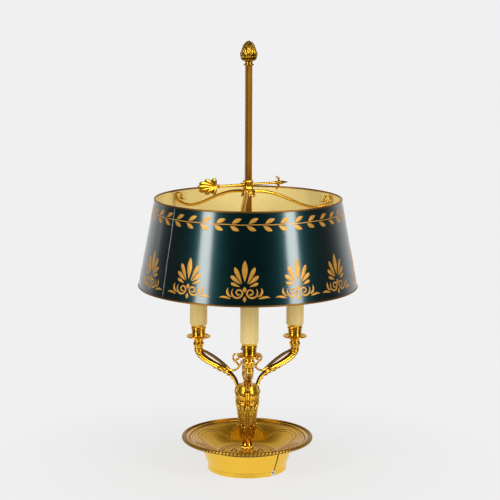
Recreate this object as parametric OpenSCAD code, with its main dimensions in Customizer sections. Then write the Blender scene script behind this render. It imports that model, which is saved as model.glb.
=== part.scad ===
// Bouillotte lamp: a brass dish on a foot band, three scrolled candle arms,
// and a tole shade that slides on a square upright and is held by an arrow key.
// Millimetres, +Z up, origin on the axis at the level the foot stands on.

/* [Foot] */
// Radius of the foot band where it stands
foot_r = 59; // [54:0.5:64]
// Height of the foot band
foot_h = 35; // [30:0.2:38]
// Outward flare of the band at its top
foot_flare = 10; // [8:0.5:12]
// Height of the upright part at the bottom of the band
foot_upright = 7.5; // [4:0.5:12]
// Sheet thickness of the foot band
foot_wall = 1.6; // [1:0.1:2.4]
// Bearing of the band's lap seam and cord hole
foot_seam_az = 310; // [290:1:330]
// Outside radius of the cord bushing
bushing_r = 3.6; // [3:0.1:4.5]
// Radius of the hole through the cord bushing
bushing_bore_r = 2; // [1.5:0.1:2.5]
// Thickness of the baize pad under the base
felt_t = 2; // [1:0.1:2.5]
// Thickness of the board that closes the base
board_t = 2.5; // [2:0.1:3.5]
// Outside radius of the iron weight
weight_r = 50; // [40:0.5:52]
// Radius of the hole in the iron weight
weight_hole_r = 24; // [23:0.5:30]
// Thickness of the iron weight
weight_t = 9; // [6:0.2:11]

/* [Dish] */
// Radius of the dish over its border
dish_r = 97.6; // [92:0.2:106]
// Radius of the flat floor of the dish
dish_floor_r = 40; // [36:0.5:44]
// Rise of the hollow wall of the dish
dish_rise = 23; // [16:0.5:26]
// Width of the flat ledge inside the border
dish_ledge = 7; // [4:0.2:10]
// Thickness of the dish
dish_wall = 2; // [1.4:0.1:3]
// Height of the gadrooned border
border_h = 5.4; // [4:0.2:7]
// Number of gadroons round the border
border_count = 72; // [48:4:96]

/* [Stem] */
// Radius of the leaf collar that stands in the dish
stem_foot_r = 18.6; // [15:0.2:22]
// Height of the leaf collar
stem_foot_h = 11; // [8:0.5:14]
// Radius of the plain neck
neck_r = 8; // [7:0.1:9.5]
// Height of the plain neck
neck_h = 9; // [6:0.5:12]
// Radius at the bottom of the leaf quiver
quiver_foot_r = 9; // [8.2:0.1:10]
// Radius at the top of the leaf quiver
quiver_top_r = 16.2; // [14:0.1:18]
// Height of the leaf quiver
quiver_h = 54; // [45:1:70]
// Widest radius of the crown
crown_r = 20.8; // [20.6:0.1:23]
// Height of the crown to the top of its dome
crown_h = 30; // [28:0.5:34]
// Radius of the dome's flat top
dome_r = 10.5; // [9:0.1:11.5]
// Outside radius of the tie tube through the stem
tube_r = 5; // [4:0.1:6]
// Bore radius of the tie tube
tube_bore_r = 3.5; // [2.5:0.1:3.8]

/* [Candle arms] */
// Number of candle arms
arm_count = 3; // [3:1:3]
// Bearing of the first candle arm
arm_az = 271.8; // [262:0.2:280]
// Distance of each candle from the axis
arm_r = 83.6; // [76:0.5:92]
// Distance of each arm's root from the axis
arm_root_r = 16.8; // [16.4:0.1:17.2]
// Height of the arm's seat above the bottom of the crown
arm_rise = 75; // [70:0.5:84]
// Radius of the arm's neck under the knop
arm_neck_r = 5.9; // [5.8:0.1:6.6]
// Radius of the tenon at the arm's root
tenon_r = 3; // [2.6:0.1:3.2]
// Radius of the small scroll beside the upright
volute_r = 6.7; // [6:0.1:7.2]

/* [Candle fittings] */
// Height of the knop under each drip pan
knop_h = 15; // [12:0.5:18]
// Widest radius of the knop
knop_r = 7.7; // [7.3:0.1:8.8]
// Radius of each drip pan
pan_r = 18.2; // [16:0.1:21]
// Height of each drip pan
pan_h = 4; // [3:0.1:5.5]
// Radius at the top of each candle cup
cup_r = 12.2; // [11.6:0.1:12.8]
// Height of each candle cup
cup_h = 19; // [14:0.2:22]
// Wall of the candle cup
cup_wall = 1.2; // [0.8:0.1:1.5]
// Outside radius of each candle sleeve
sleeve_r = 13.1; // [12.9:0.1:13.8]
// Length of each candle sleeve
sleeve_h = 85; // [75:1:90]
// How far the candle sleeve's wall overlaps the cup's rim
sleeve_seat = 0.4; // [0.2:0.1:0.6]
// Height of the lamp holder's body
holder_h = 34; // [30:0.5:40]
// Radius of the lamp holder's socket
socket_r = 7.3; // [7.1:0.1:8]
// Radius of the bulb's screw cap
cap_r = 6.9; // [6.5:0.05:7]
// Length of the bulb's screw cap
cap_h = 22; // [20:0.5:25]
// Radius of the bulb's ball
bulb_r = 20; // [17:0.5:21]
// Height of the bulb's glass above its cap
bulb_h = 51; // [46:0.5:54]
// Outside radius of the threaded nipples
nipple_r = 4.9; // [4:0.1:5]

/* [Upright] */
// Side of the square upright bar
rod_side = 8; // [7:0.1:8.4]
// Length of the upright above the crown
rod_rise = 471.2; // [440:0.2:540]
// Bearing of the face that the arrow key bears on
rod_az = 207; // [195:1:220]
// Height of the turned baluster round the foot of the upright
baluster_h = 38; // [34:0.5:42]
// Widest radius of the baluster
baluster_r = 7.8; // [7.4:0.1:8]

/* [Finial] */
// Height of the finial
finial_h = 36.4; // [32:0.2:46]
// Widest radius of the finial
finial_r = 12.2; // [10:0.1:14]
// Radius of the finial's flange
finial_flange_r = 7.6; // [7:0.1:9]
// Radius of the finial's screw
finial_stud_r = 2.5; // [2:0.1:3]

/* [Shade] */
// Radius of the shade at its top edge
shade_top_r = 136.6; // [125:0.2:150]
// Radius of the shade at its bottom edge
shade_bottom_r = 160.5; // [152:0.5:180]
// Height of the shade
shade_h = 127.6; // [115:0.2:150]
// Sheet thickness of the shade
shade_wall = 0.8; // [0.6:0.1:1.4]
// Wire radius of the rolled rims
rim_r = 1.6; // [1.4:0.1:2.2]
// Bearing of the shade's lap seam
shade_seam_az = 220; // [200:1:240]
// Height of the shade's bottom edge above the candle seats
shade_lift = 68.2; // [60:0.2:90]

/* [Shade carrier] */
// Outside width of the square collar
collar_w = 11.2; // [11:0.1:13]
// Height of the square collar
collar_h = 13; // [12:0.5:20]
// Running clearance between the collar and the upright
collar_gap = 0.08; // [0.05:0.01:0.1]
// Height of the hub that carries the shade's arms
hub_h = 12; // [10:0.5:15]
// Radius of the hub
hub_r = 8.6; // [8:0.1:10]
// Bearing of the first shade arm
spider_az = 264; // [256:0.5:270]
// Half width of the shade arms
spider_w = 3.4; // [2.6:0.1:4]
// Half thickness of the shade arms
spider_t = 2; // [1.6:0.1:2.4]
// Radius of the scroll at the end of each shade arm
scroll_r = 9; // [7.6:0.1:10]
// Drop of the shade arms from the top of the hub to their low point
spider_drop = 35; // [32:0.2:38]

/* [Arrow key] */
// Reach of the feathered end from the axis
arrow_tail = 83; // [70:0.5:95]
// Reach of the arrow's point from the axis
arrow_tip = 66; // [58:0.5:80]
// Radius of the arrow's shaft
arrow_shaft_r = 1.8; // [1.4:0.1:2]
// Radius of the key's screw
key_screw_r = 2.5; // [2.2:0.1:2.6]
// Length of each feather
feather_len = 31; // [24:0.5:36]
// Thickness of the feathers
feather_t = 2.6; // [2:0.1:3.2]
// Span of the barbs of the arrowhead
barb_span = 20; // [16:0.5:24]

/* [Hidden] */

$fn = 96;
small_fn = 48;

brass = "goldenrod";
dark_brass = "darkgoldenrod";
steel = "silver";

// Clearances
seat_gap = 0.1;       // between faces that rest on each other
tube_gap = 0.15;      // round the tie tube and the nipples
socket_gap = 0.1;     // round tenons, studs and the ends of the upright
slip_gap = 0.3;       // round pieces that slip together by hand
cut = 1;              // how far a cutter runs past the face that it cuts

// Dish: a hollow wall that leaves the floor level and rises to the ledge. Its
// outline counts from the floor's edge, and the underside is the same outline
// moved out and down by shares of the wall.
dish_run = dish_r - border_h / 2 - dish_ledge - dish_floor_r;
dish_outline = bezier([0, 0], [0.21 * dish_run, 0],
    [0.46 * dish_run, 0.61 * dish_rise], [dish_run, dish_rise], 16);
dish_under_shift = 0.4 * dish_wall;
foot_top_r = foot_r + foot_flare;
foot_inner_top_r = foot_top_r - foot_wall;
foot_seat_rise = lookup(foot_inner_top_r - dish_floor_r - dish_under_shift, dish_outline);
dish_under_z = foot_h + seat_gap - foot_seat_rise;
dish_floor_z = dish_under_z + dish_wall;
dish_ledge_z = dish_floor_z + dish_rise;

// Base
bushing_z = bushing_r + slip_gap;
bushing_len = 6;
bushing_lip = 0.8;
board_r = foot_r - foot_wall - slip_gap;
washer_r = 14;
washer_t = 1.6;
nut_t = 5;
nut_r = 9.5;
tube_foot_z = dish_under_z - washer_t - nut_t - 2 * seat_gap - 2;
connector = [8, 14, 7];
connector_r = 18;

// Stem
stem_foot_z = dish_floor_z + seat_gap;
neck_z = stem_foot_z + stem_foot_h;
quiver_z = neck_z + neck_h;
crown_z = quiver_z + quiver_h;
crown_top_z = crown_z + crown_h;
chamber_r = 8.4;
chamber_h = 9;
tube_top_z = crown_z + chamber_h - 2;
tube_hole_r = tube_r + tube_gap;
tenon_floor_z = crown_z + 10;

// Arms and candles
arm_seat_z = crown_z + arm_rise;
knop_z = arm_seat_z + seat_gap;
pan_z = knop_z + knop_h + seat_gap;
cup_z = pan_z + pan_h - 1.2;
cup_floor_t = 1.6;
cup_foot_r = cup_r - 2.3;
sleeve_z = cup_z + cup_h + seat_gap;
sleeve_bore_r = cup_r - sleeve_seat;
sleeve_top_z = sleeve_z + sleeve_h;
nipple_hole_r = nipple_r + tube_gap;
nipple_bore_r = nipple_r - 1.3;
nipple_depth = 9;
nipple_nut_t = 2.4;
bracket_t = 1;
bracket_z = cup_z + cup_floor_t + seat_gap;
nipple_top_z = bracket_z + bracket_t + seat_gap + nipple_nut_t;
holder_r = sleeve_bore_r - slip_gap;
holder_z = sleeve_top_z - holder_h;
socket_floor_t = 6;
cap_z = holder_z + socket_floor_t + seat_gap;
glass_z = cap_z + cap_h + seat_gap;
bulb_top_z = glass_z + bulb_h;

// Upright
rod_foot_z = crown_top_z + 12;
rod_top_z = crown_top_z + rod_rise;
rod_socket = rod_side + 2 * socket_gap;
baluster_tenon_r = 4;
baluster_tenon_h = 7;
stud_len = 10;

// Shade, with its arms hung from the hub
shade_z = sleeve_z + shade_lift;
shade_top_z = shade_z + shade_h;
shade_slope = (shade_bottom_r - shade_top_r) / shade_h;
shade_tilt = atan(shade_slope);
scroll_z = shade_top_z - 7.8;
spider_sag = 4;       // from the bottom of a scroll to the arm's low point
scroll_start_r = scroll_r - spider_t;
scroll_end_r = scroll_r * 0.42;
spider_low_z = scroll_z - scroll_start_r - spider_sag;
hub_z = spider_low_z - spider_t + spider_drop - hub_h;
collar_z = hub_z + hub_h + seat_gap;
collar_top_z = collar_z + collar_h;
collar_bore = rod_side + 2 * collar_gap;
scroll_from = -75;
scroll_to = 215;
scroll_touch_r = 0.88 * spider_t + scroll_start_r
    + (scroll_end_r - scroll_start_r) * (-shade_tilt - scroll_from) / (scroll_to - scroll_from);
scroll_reach = shade_top_r - shade_wall + (shade_top_z - scroll_z) * shade_slope
    - (scroll_touch_r + slip_gap) / cos(shade_tilt);

// Arrow key
arrow_z = collar_z + collar_h / 2;
pad_t = 1.1;
pad_r = key_screw_r - socket_gap;
pad_gap = 0.04;       // between the pad and the upright when the key is home
key_bore_r = key_screw_r + socket_gap;
boss_r = 3.6;
boss_len = 3;
boss_end = collar_w / 2 + boss_len;
key_tip = rod_side / 2 + pad_gap + pad_t + pad_gap;
key_shoulder = boss_end + 1.2;

// ---- Helpers ------------------------------------------------------------

function bezier(a, b, c, d, n) = [
    for (i = [0 : n])
        let (t = i / n, u = 1 - t)
        u * u * u * a + 3 * u * u * t * b + 3 * u * t * t * c + t * t * t * d
];

function arc(centre, r, from, to, n) = [
    for (i = [0 : n])
        let (a = from + (to - from) * i / n)
        centre + r * [cos(a), sin(a)]
];

// A spiral whose radius goes evenly from r0 to r1
function spiral(centre, r0, r1, from, to, n) = [
    for (i = [0 : n])
        let (a = from + (to - from) * i / n, r = r0 + (r1 - r0) * i / n)
        centre + r * [cos(a), sin(a)]
];

function tail(points) = [for (i = [1 : len(points) - 1]) points[i]];

function unit(v) = v / norm(v);

// Value at the fraction t along evenly spaced stops
function along(stops, t) =
    let (s = t * (len(stops) - 1), i = min(floor(s), len(stops) - 2))
    stops[i] + (stops[i + 1] - stops[i]) * (s - i);

// A bar swept along a path in the plane y = 0, with an oval section whose half
// thickness (in the plane) and half width (across it) follow two lists of stops
module swept_bar(path, thick, wide, sides = 10) {
    last = len(path) - 1;
    points = [
        for (i = [0 : last])
            let (
                ahead = path[min(i + 1, last)],
                behind = path[max(i - 1, 0)],
                way = unit(ahead - behind),
                side = [-way.y, way.x],
                t = along(thick, i / last),
                w = along(wide, i / last)
            )
            for (j = [0 : sides - 1])
                let (a = 360 * (j + 0.5) / sides, p = path[i] + side * t * cos(a))
                [p.x, w * sin(a), p.y]
    ];
    walls = [
        for (i = [0 : last - 1], j = [0 : sides - 1])
            let (k = (j + 1) % sides)
            each [
                [i * sides + j, i * sides + k, (i + 1) * sides + k],
                [i * sides + j, (i + 1) * sides + k, (i + 1) * sides + j]
            ]
    ];
    start = [for (j = [sides - 1 : -1 : 0]) j];
    end = [for (j = [0 : sides - 1]) last * sides + j];
    polyhedron(points, concat([start], walls, [end]));
}

// A pointed leaf outline, from the origin along +X
module leaf_outline(length, width) {
    bow = (length * length + width * width) / (4 * width);
    intersection() {
        translate([length / 2, bow - width / 2]) circle(bow);
        translate([length / 2, width / 2 - bow]) circle(bow);
    }
}

module at_arm(i) {
    rotate([0, 0, arm_az + (i - 1) * 360 / arm_count]) children();
}

module at_candle(i) {
    at_arm(i) translate([arm_r, 0, 0]) children();
}

module at_spider(i) {
    rotate([0, 0, spider_az + (i - 1) * 360 / 3]) children();
}

// Lays children that run along +Z onto the arrow's axis, tail side outward
module on_arrow() {
    translate([0, 0, arrow_z])
        rotate([0, 0, rod_az])
            rotate([0, 90, 0])
                children();
}

// ---- Base ---------------------------------------------------------------

module band_shell(proud = 0, angle = 360) {
    rotate_extrude(angle = angle)
        translate([proud, 0])
            polygon([
                [foot_r - foot_wall, 0],
                [foot_r, 0],
                [foot_r, foot_upright],
                [foot_top_r, foot_h],
                [foot_inner_top_r, foot_h],
                [foot_r - foot_wall, foot_upright]
            ]);
}

module cord_hole(r) {
    rotate([0, 0, foot_seam_az])
        translate([foot_r - bushing_len - cut, 0, bushing_z])
            rotate([0, 90, 0])
                cylinder(r = r, h = bushing_len + foot_wall + 3 * cut, $fn = small_fn);
}

// The end of the strip laps over its start at the seam
module foot_band() {
    lap = foot_wall / 2;
    lap_angle = 14;
    color(brass)
    difference() {
        union() {
            band_shell();
            rotate([0, 0, foot_seam_az - lap_angle]) band_shell(lap, lap_angle);
        }
        cord_hole(bushing_r + socket_gap);
        translate([0, 0, -cut])
            rotate([0, 0, foot_seam_az])
                translate([foot_r - 2 * foot_wall, -bushing_r - socket_gap, 0])
                    cube([4 * foot_wall, 2 * (bushing_r + socket_gap), bushing_z + cut]);
    }
}

module base_dish() {
    steps = len(dish_outline) - 1;
    ledge_in = dish_floor_r + dish_run;
    ledge_out = dish_r - border_h / 2;
    color(brass)
    difference() {
        rotate_extrude()
            polygon(concat(
                [[0, dish_floor_z]],
                [for (p = dish_outline) [dish_floor_r, dish_floor_z] + p],
                [
                    [ledge_in + dish_under_shift, dish_ledge_z + dish_wall / 2],
                    [ledge_out, dish_ledge_z + dish_wall / 2],
                    [ledge_out, dish_ledge_z - dish_wall / 2],
                    [ledge_in + 2 * dish_under_shift, dish_ledge_z - dish_wall / 2]
                ],
                [for (i = [steps : -1 : 0])
                    [dish_floor_r + dish_under_shift, dish_under_z] + dish_outline[i]],
                [[0, dish_under_z]]
            ));
        translate([0, 0, dish_under_z - cut])
            cylinder(r = tube_hole_r, h = dish_wall + 2 * cut, $fn = small_fn);
    }
}

// A moulding that grips the edge of the dish, nicked into gadroons outside
module dish_border() {
    mid_r = dish_r - border_h / 2;
    low = dish_ledge_z - border_h / 2;
    bevel = border_h / 4;
    slot_low = dish_ledge_z - dish_wall / 2 - seat_gap;
    slot_high = dish_ledge_z + dish_wall / 2 + seat_gap;
    nick_r = PI * dish_r / border_count / 4;
    color(dark_brass)
    difference() {
        rotate_extrude()
            polygon([
                [mid_r - 1, slot_high],
                [mid_r + seat_gap, slot_high],
                [mid_r + seat_gap, slot_low],
                [mid_r - 1, slot_low],
                [mid_r - 1, low + bevel],
                [mid_r, low],
                [dish_r - bevel, low],
                [dish_r, low + bevel],
                [dish_r, low + border_h - bevel],
                [dish_r - bevel, low + border_h],
                [mid_r, low + border_h],
                [mid_r - 1, low + border_h - bevel]
            ]);
        for (i = [0 : border_count - 1])
            rotate([0, 0, i * 360 / border_count])
                translate([dish_r + nick_r / 4, 0, low - cut])
                    cylinder(r = nick_r, h = border_h + 2 * cut, $fn = 16);
    }
}

module base_weight() {
    color("dimgray")
    translate([0, 0, dish_under_z - seat_gap - weight_t])
        difference() {
            cylinder(r = weight_r, h = weight_t);
            translate([0, 0, -cut]) cylinder(r = weight_hole_r, h = weight_t + 2 * cut);
        }
}

module base_board() {
    color("burlywood")
    difference() {
        translate([0, 0, felt_t]) cylinder(r = board_r, h = board_t);
        cord_hole(bushing_r + slip_gap);
    }
}

module felt_pad() {
    color("darkgreen")
    difference() {
        cylinder(r = board_r, h = felt_t);
        cord_hole(bushing_r + slip_gap);
    }
}

module cord_bushing() {
    color("whitesmoke")
    rotate([0, 0, foot_seam_az])
        translate([foot_r + bushing_lip, 0, bushing_z])
            rotate([0, -90, 0])
                difference() {
                    cylinder(r = bushing_r, h = bushing_len, $fn = small_fn);
                    translate([0, 0, -cut])
                        cylinder(r = bushing_bore_r, h = bushing_len + 2 * cut, $fn = small_fn);
                }
}

// The block that joins the three holder leads to the cord
module wire_connector() {
    color("ivory")
    translate([connector_r, 0, felt_t + board_t + seat_gap])
        translate([-connector.x / 2, -connector.y / 2, 0])
            difference() {
                cube(connector);
                for (y = [connector.y / 4, 3 * connector.y / 4])
                    translate([-cut, y, connector.z / 2])
                        rotate([0, 90, 0])
                            cylinder(r = 1.6, h = connector.x + 2 * cut, $fn = 24);
            }
}

module tie_tube() {
    color(steel)
    translate([0, 0, tube_foot_z])
        difference() {
            cylinder(r = tube_r, h = tube_top_z - tube_foot_z, $fn = small_fn);
            translate([0, 0, -cut])
                cylinder(r = tube_bore_r, h = tube_top_z - tube_foot_z + 2 * cut, $fn = small_fn);
        }
}

module tube_nut() {
    color(steel)
    translate([0, 0, dish_under_z - 2 * seat_gap - washer_t - nut_t])
        difference() {
            cylinder(r = nut_r, h = nut_t, $fn = 6);
            translate([0, 0, -cut]) cylinder(r = tube_hole_r, h = nut_t + 2 * cut, $fn = small_fn);
        }
}

module tube_washer() {
    color(steel)
    translate([0, 0, dish_under_z - seat_gap - washer_t])
        difference() {
            cylinder(r = washer_r, h = washer_t, $fn = small_fn);
            translate([0, 0, -cut])
                cylinder(r = tube_hole_r, h = washer_t + 2 * cut, $fn = small_fn);
        }
}

// ---- Stem ---------------------------------------------------------------

// A turned piece round the tie tube, from an outline of [radius, height] points
module turned_on_tube(z, h, outline) {
    translate([0, 0, z])
        difference() {
            rotate_extrude()
                polygon(concat([[0, 0]], outline, [[0, h]]));
            translate([0, 0, -cut]) cylinder(r = tube_hole_r, h = h + 2 * cut, $fn = small_fn);
        }
}

// Pointed leaves round a turned piece: each leaf keeps the part of the children
// that lies behind its outline, from the radius r_in outward
module leaf_ring(count, z, r_in, r_out, length, width, turn = 0) {
    for (i = [0 : count - 1])
        intersection() {
            children();
            rotate([0, 0, turn + i * 360 / count])
                translate([r_out, 0, z])
                    rotate([0, -90, 0])
                        linear_extrude(r_out - r_in)
                            leaf_outline(length, width);
        }
}

module stem_foot() {
    flange_t = 2.4;
    color(brass)
    turned_on_tube(stem_foot_z, stem_foot_h - seat_gap, concat(
        [[stem_foot_r, 0], [stem_foot_r, flange_t]],
        bezier(
            [stem_foot_r - 1.4, flange_t + 0.8],
            [stem_foot_r - 4, flange_t + 2],
            [neck_r + 1.4, stem_foot_h - 5],
            [neck_r + 1.2, stem_foot_h - seat_gap],
            8
        )
    ));
}

module stem_neck() {
    waist = 0.7;
    color(brass)
    turned_on_tube(neck_z, neck_h - seat_gap, bezier(
        [neck_r, 0],
        [neck_r - waist, neck_h / 3],
        [neck_r - waist, neck_h * 2 / 3],
        [neck_r, neck_h - seat_gap],
        6
    ));
}

function quiver_outline(relief = 0) = [
    for (
        p = bezier(
            [quiver_foot_r - 1, 0],
            [quiver_foot_r + 2.4, quiver_h * 0.22],
            [quiver_top_r - 3.6, quiver_h * 0.62],
            [quiver_top_r, quiver_h - seat_gap],
            8
        )
    )
    [p.x + relief, p.y]
];

module quiver_leaves(count, from, length, r_in, width, turn = 0) {
    relief = 0.8;
    leaf_ring(count, quiver_z + quiver_h * from, r_in, 2 * quiver_top_r,
            quiver_h * length, width, turn)
        translate([0, 0, quiver_z])
            rotate_extrude()
                polygon(concat([[0, 0]], quiver_outline(relief), [[0, quiver_h - seat_gap]]));
}

// Tall pointed leaves wrap the quiver, in a lower and an upper row
module stem_quiver() {
    count = 6;
    color(brass)
    union() {
        turned_on_tube(quiver_z, quiver_h - seat_gap, quiver_outline());
        quiver_leaves(count, 0.04, 0.44, quiver_foot_r * 0.8, quiver_foot_r * 0.84);
        quiver_leaves(count, 0.44, 0.52, quiver_top_r * 0.7, quiver_top_r * 0.76, 180 / count);
    }
}

// The crown takes the three arms and the baluster, over a chamber for the wires
module stem_crown() {
    band_h = 6;
    shoulder_z = 18;
    leaf_count = 6;
    tip_r = 1.9;
    tip_w = 5;
    color(brass)
    difference() {
        union() {
            translate([0, 0, crown_z])
                rotate_extrude()
                    polygon(concat(
                        [
                            [0, 0],
                            [quiver_top_r + 1.2, 0],
                            [quiver_top_r + 1.6, band_h / 2],
                            [quiver_top_r + 1.2, band_h],
                            [quiver_top_r + 0.6, band_h]
                        ],
                        bezier(
                            [quiver_top_r + 1, band_h + 1],
                            [crown_r - 0.6, band_h + 4],
                            [crown_r, shoulder_z - 4],
                            [crown_r, shoulder_z],
                            4
                        ),
                        bezier(
                            [crown_r - 0.6, shoulder_z + 1.4],
                            [crown_r - 3, shoulder_z + 6],
                            [dome_r + 3, crown_h - 2],
                            [dome_r, crown_h],
                            6
                        ),
                        [[0, crown_h]]
                    ));
            for (i = [0 : leaf_count - 1])
                rotate([0, 0, arm_az + (i + 0.5) * 360 / leaf_count])
                    translate([crown_r - tip_r / 2, 0, crown_z + shoulder_z - 1])
                        rotate([90, 0, 0])
                            cylinder(r = tip_r, h = tip_w, center = true, $fn = 24);
            for (i = [0 : leaf_count - 1])
                rotate([0, 0, arm_az + i * 360 / leaf_count])
                    translate([quiver_top_r + 2.6, 0, crown_z + band_h + 2.4])
                        rotate([90, 0, 0])
                            cylinder(r = tip_r, h = tip_w, center = true, $fn = 24);
        }
        translate([0, 0, crown_z - cut])
            cylinder(r = chamber_r, h = chamber_h + cut, $fn = small_fn);
        for (i = [1 : arm_count])
            at_arm(i)
                translate([arm_root_r, 0, tenon_floor_z])
                    cylinder(r = tenon_r + socket_gap, h = crown_h, $fn = small_fn);
        translate([0, 0, crown_top_z - baluster_tenon_h - socket_gap])
            cylinder(r = baluster_tenon_r + socket_gap, h = crown_h, $fn = small_fn);
    }
}

// ---- Candle arms --------------------------------------------------------

// Points of the arm in its own plane: distance from the axis, and height
// above the bottom of the crown. Most are given as shares of the span from the
// arm's root to its seat.
arm_root_z = 20;
arm_span = [arm_r - arm_root_r, arm_rise - arm_root_z];

function arm_at(share) = [arm_root_r + share.x * arm_span.x, arm_root_z + share.y * arm_span.y];

arm_cross = [0.213, 0.424];
arm_neck = [1, 0.945];

function horn_path() = concat(
    bezier(arm_at([0, 0]), arm_at([0.003, 0.2]), arm_at([0.078, 0.335]), arm_at(arm_cross), 8),
    tail(bezier(arm_at(arm_cross), arm_at([0.377, 0.555]), arm_at([0.946, 0.673]), arm_at(arm_neck), 14))
);

// The slim upper bar falls from the neck to the crossing, dips, and climbs
// beside the baluster
bar_dip = [0.213, 0.524];
bar_end = [baluster_r * 1.3, arm_at([0, 0.76]).y];

function bar_path() = concat(
    bezier(arm_at([0.948, 0.964]), arm_at([0.737, 0.927]), arm_at([0.347, 0.655]), arm_at(bar_dip), 12),
    tail(bezier(arm_at(bar_dip), arm_at([0.123, 0.445]), arm_at([-0.033, 0.527]), bar_end, 10))
);

// A small open scroll springs from the bar and curls in
volute_root = [baluster_r * 1.8, arm_at([0, 0.6]).y];
volute_climb = [baluster_r * 1.82, arm_at([0, 0.693]).y];
volute_centre = [baluster_r * 2.36, arm_at([0, 0.873]).y];
volute_from = -60;
volute_to = 270;
volute_inner = 0.45;      // share of the radius left at the scroll's eye

function volute_path() =
    let (start = volute_centre + volute_r * [cos(volute_from), sin(volute_from)])
    concat(
        bezier(volute_root, volute_climb, start - volute_r * [0.45, 0.27], start, 6),
        tail(spiral(volute_centre, volute_r, volute_r * volute_inner, volute_from, volute_to, 18))
    );

module candle_arm(i) {
    tenon_len = arm_root_z - (tenon_floor_z - crown_z);
    neck_len = arm_span.y * 0.1;
    volute = volute_path();
    eye = volute[len(volute) - 1];
    color(brass)
    at_arm(i)
        translate([0, 0, crown_z])
            difference() {
                union() {
                    translate([arm_root_r, 0, tenon_floor_z - crown_z + socket_gap])
                        cylinder(r = tenon_r, h = tenon_len + 0.6, $fn = small_fn);
                    swept_bar(
                        horn_path(),
                        arm_neck_r * [0.49, 0.51, 0.58, 0.68, 0.75, 0.8, 0.88, 0.97],
                        arm_neck_r * [0.44, 0.39, 0.51, 0.71, 0.88, 0.97, 1, 0.97],
                        12
                    );
                    swept_bar(
                        bar_path(),
                        volute_r * [0.27, 0.31, 0.3, 0.26, 0.22, 0.18],
                        volute_r * [0.3, 0.32, 0.3, 0.26, 0.22, 0.16],
                        8
                    );
                    swept_bar(volute, volute_r * [0.18, 0.18, 0.15], volute_r * [0.2, 0.19, 0.16], 8);
                    translate([eye.x, 0, eye.y]) sphere(volute_r * 0.28, $fn = 16);
                    translate([arm_r, 0, arm_rise - neck_len])
                        cylinder(r = arm_neck_r, h = neck_len, $fn = small_fn);
                }
                translate([arm_r, 0, arm_rise - nipple_depth])
                    cylinder(r = nipple_hole_r, h = nipple_depth + cut, $fn = small_fn);
            }
}

module arm_knop(i) {
    foot = arm_neck_r + 0.2;
    lip = knop_r + 0.6;
    color(brass)
    at_candle(i)
        translate([0, 0, knop_z])
            difference() {
                rotate_extrude()
                    polygon(concat(
                        [[0, 0]],
                        bezier(
                            [foot, 0],
                            [foot, knop_h * 0.2],
                            [knop_r, knop_h * 0.34],
                            [knop_r, knop_h * 0.54],
                            5
                        ),
                        bezier(
                            [knop_r - 0.2, knop_h * 0.62],
                            [knop_r - 0.8, knop_h * 0.7],
                            [foot + 0.2, knop_h * 0.74],
                            [foot + 0.4, knop_h * 0.82],
                            3
                        ),
                        [[lip, knop_h * 0.88], [lip, knop_h], [0, knop_h]]
                    ));
                translate([0, 0, -cut])
                    cylinder(r = nipple_hole_r, h = knop_h + 2 * cut, $fn = small_fn);
            }
}

module drip_pan(i) {
    sheet = 1.2;
    color(brass)
    at_candle(i)
        translate([0, 0, pan_z])
            difference() {
                rotate_extrude()
                    polygon([
                        [0, 0],
                        [cup_foot_r, 0],
                        [pan_r - 3, pan_h - 2.4],
                        [pan_r - 0.6, pan_h - 1.2],
                        [pan_r, pan_h - 0.5],
                        [pan_r - 0.4, pan_h],
                        [pan_r - 1.4, pan_h],
                        [pan_r - 3.6, pan_h - 1.2],
                        [cup_foot_r + 1, sheet],
                        [0, sheet]
                    ]);
                translate([0, 0, -cut])
                    cylinder(r = nipple_hole_r, h = pan_h + 2 * cut, $fn = small_fn);
            }
}

module candle_cup(i) {
    foot_z = pan_z + 1.2 + seat_gap - cup_z;
    color(brass)
    at_candle(i)
        translate([0, 0, cup_z])
            difference() {
                rotate_extrude()
                    polygon([
                        [0, foot_z],
                        [cup_foot_r, foot_z],
                        [cup_foot_r + 0.6, 1.4],
                        [cup_foot_r + 0.2, 2.6],
                        [cup_foot_r + 0.6, cup_h * 0.62],
                        [cup_r - 0.8, cup_h * 0.7],
                        [cup_r - 1.3, cup_h * 0.76],
                        [cup_r - 0.5, cup_h * 0.9],
                        [cup_r, cup_h],
                        [cup_r - cup_wall, cup_h],
                        [cup_foot_r - cup_wall + 0.2, cup_h * 0.6],
                        [cup_foot_r - cup_wall + 0.2, cup_floor_t],
                        [0, cup_floor_t]
                    ]);
                translate([0, 0, foot_z - cut])
                    cylinder(r = nipple_hole_r, h = cup_floor_t + 4 * cut, $fn = small_fn);
            }
}

// The grub screw in the side of the first candle's cup
module cup_screw() {
    head_r = 1.8;
    head_h = 1.6;
    side = cup_foot_r + 0.6;
    color(dark_brass)
    at_candle(1)
        translate([0, -side - seat_gap, cup_z + cup_h * 0.5])
            rotate([90, 0, 0])
                cylinder(r = head_r, h = head_h, $fn = 32);
}

module nipples() {
    foot_z = arm_seat_z - nipple_depth + seat_gap;
    color(steel)
    for (i = [1 : arm_count])
        at_candle(i)
            translate([0, 0, foot_z])
                difference() {
                    cylinder(r = nipple_r, h = nipple_top_z - foot_z, $fn = small_fn);
                    translate([0, 0, -cut])
                        cylinder(r = nipple_bore_r, h = nipple_top_z - foot_z + 2 * cut,
                            $fn = small_fn);
                }
}

module nipple_nuts() {
    color(steel)
    for (i = [1 : arm_count])
        at_candle(i)
            translate([0, 0, bracket_z + bracket_t + seat_gap])
                difference() {
                    rotate([0, 0, 30]) cylinder(r = nipple_r + 2.2, h = nipple_nut_t, $fn = 6);
                    translate([0, 0, -cut])
                        cylinder(r = nipple_hole_r, h = nipple_nut_t + 2 * cut, $fn = small_fn);
                }
}

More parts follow.
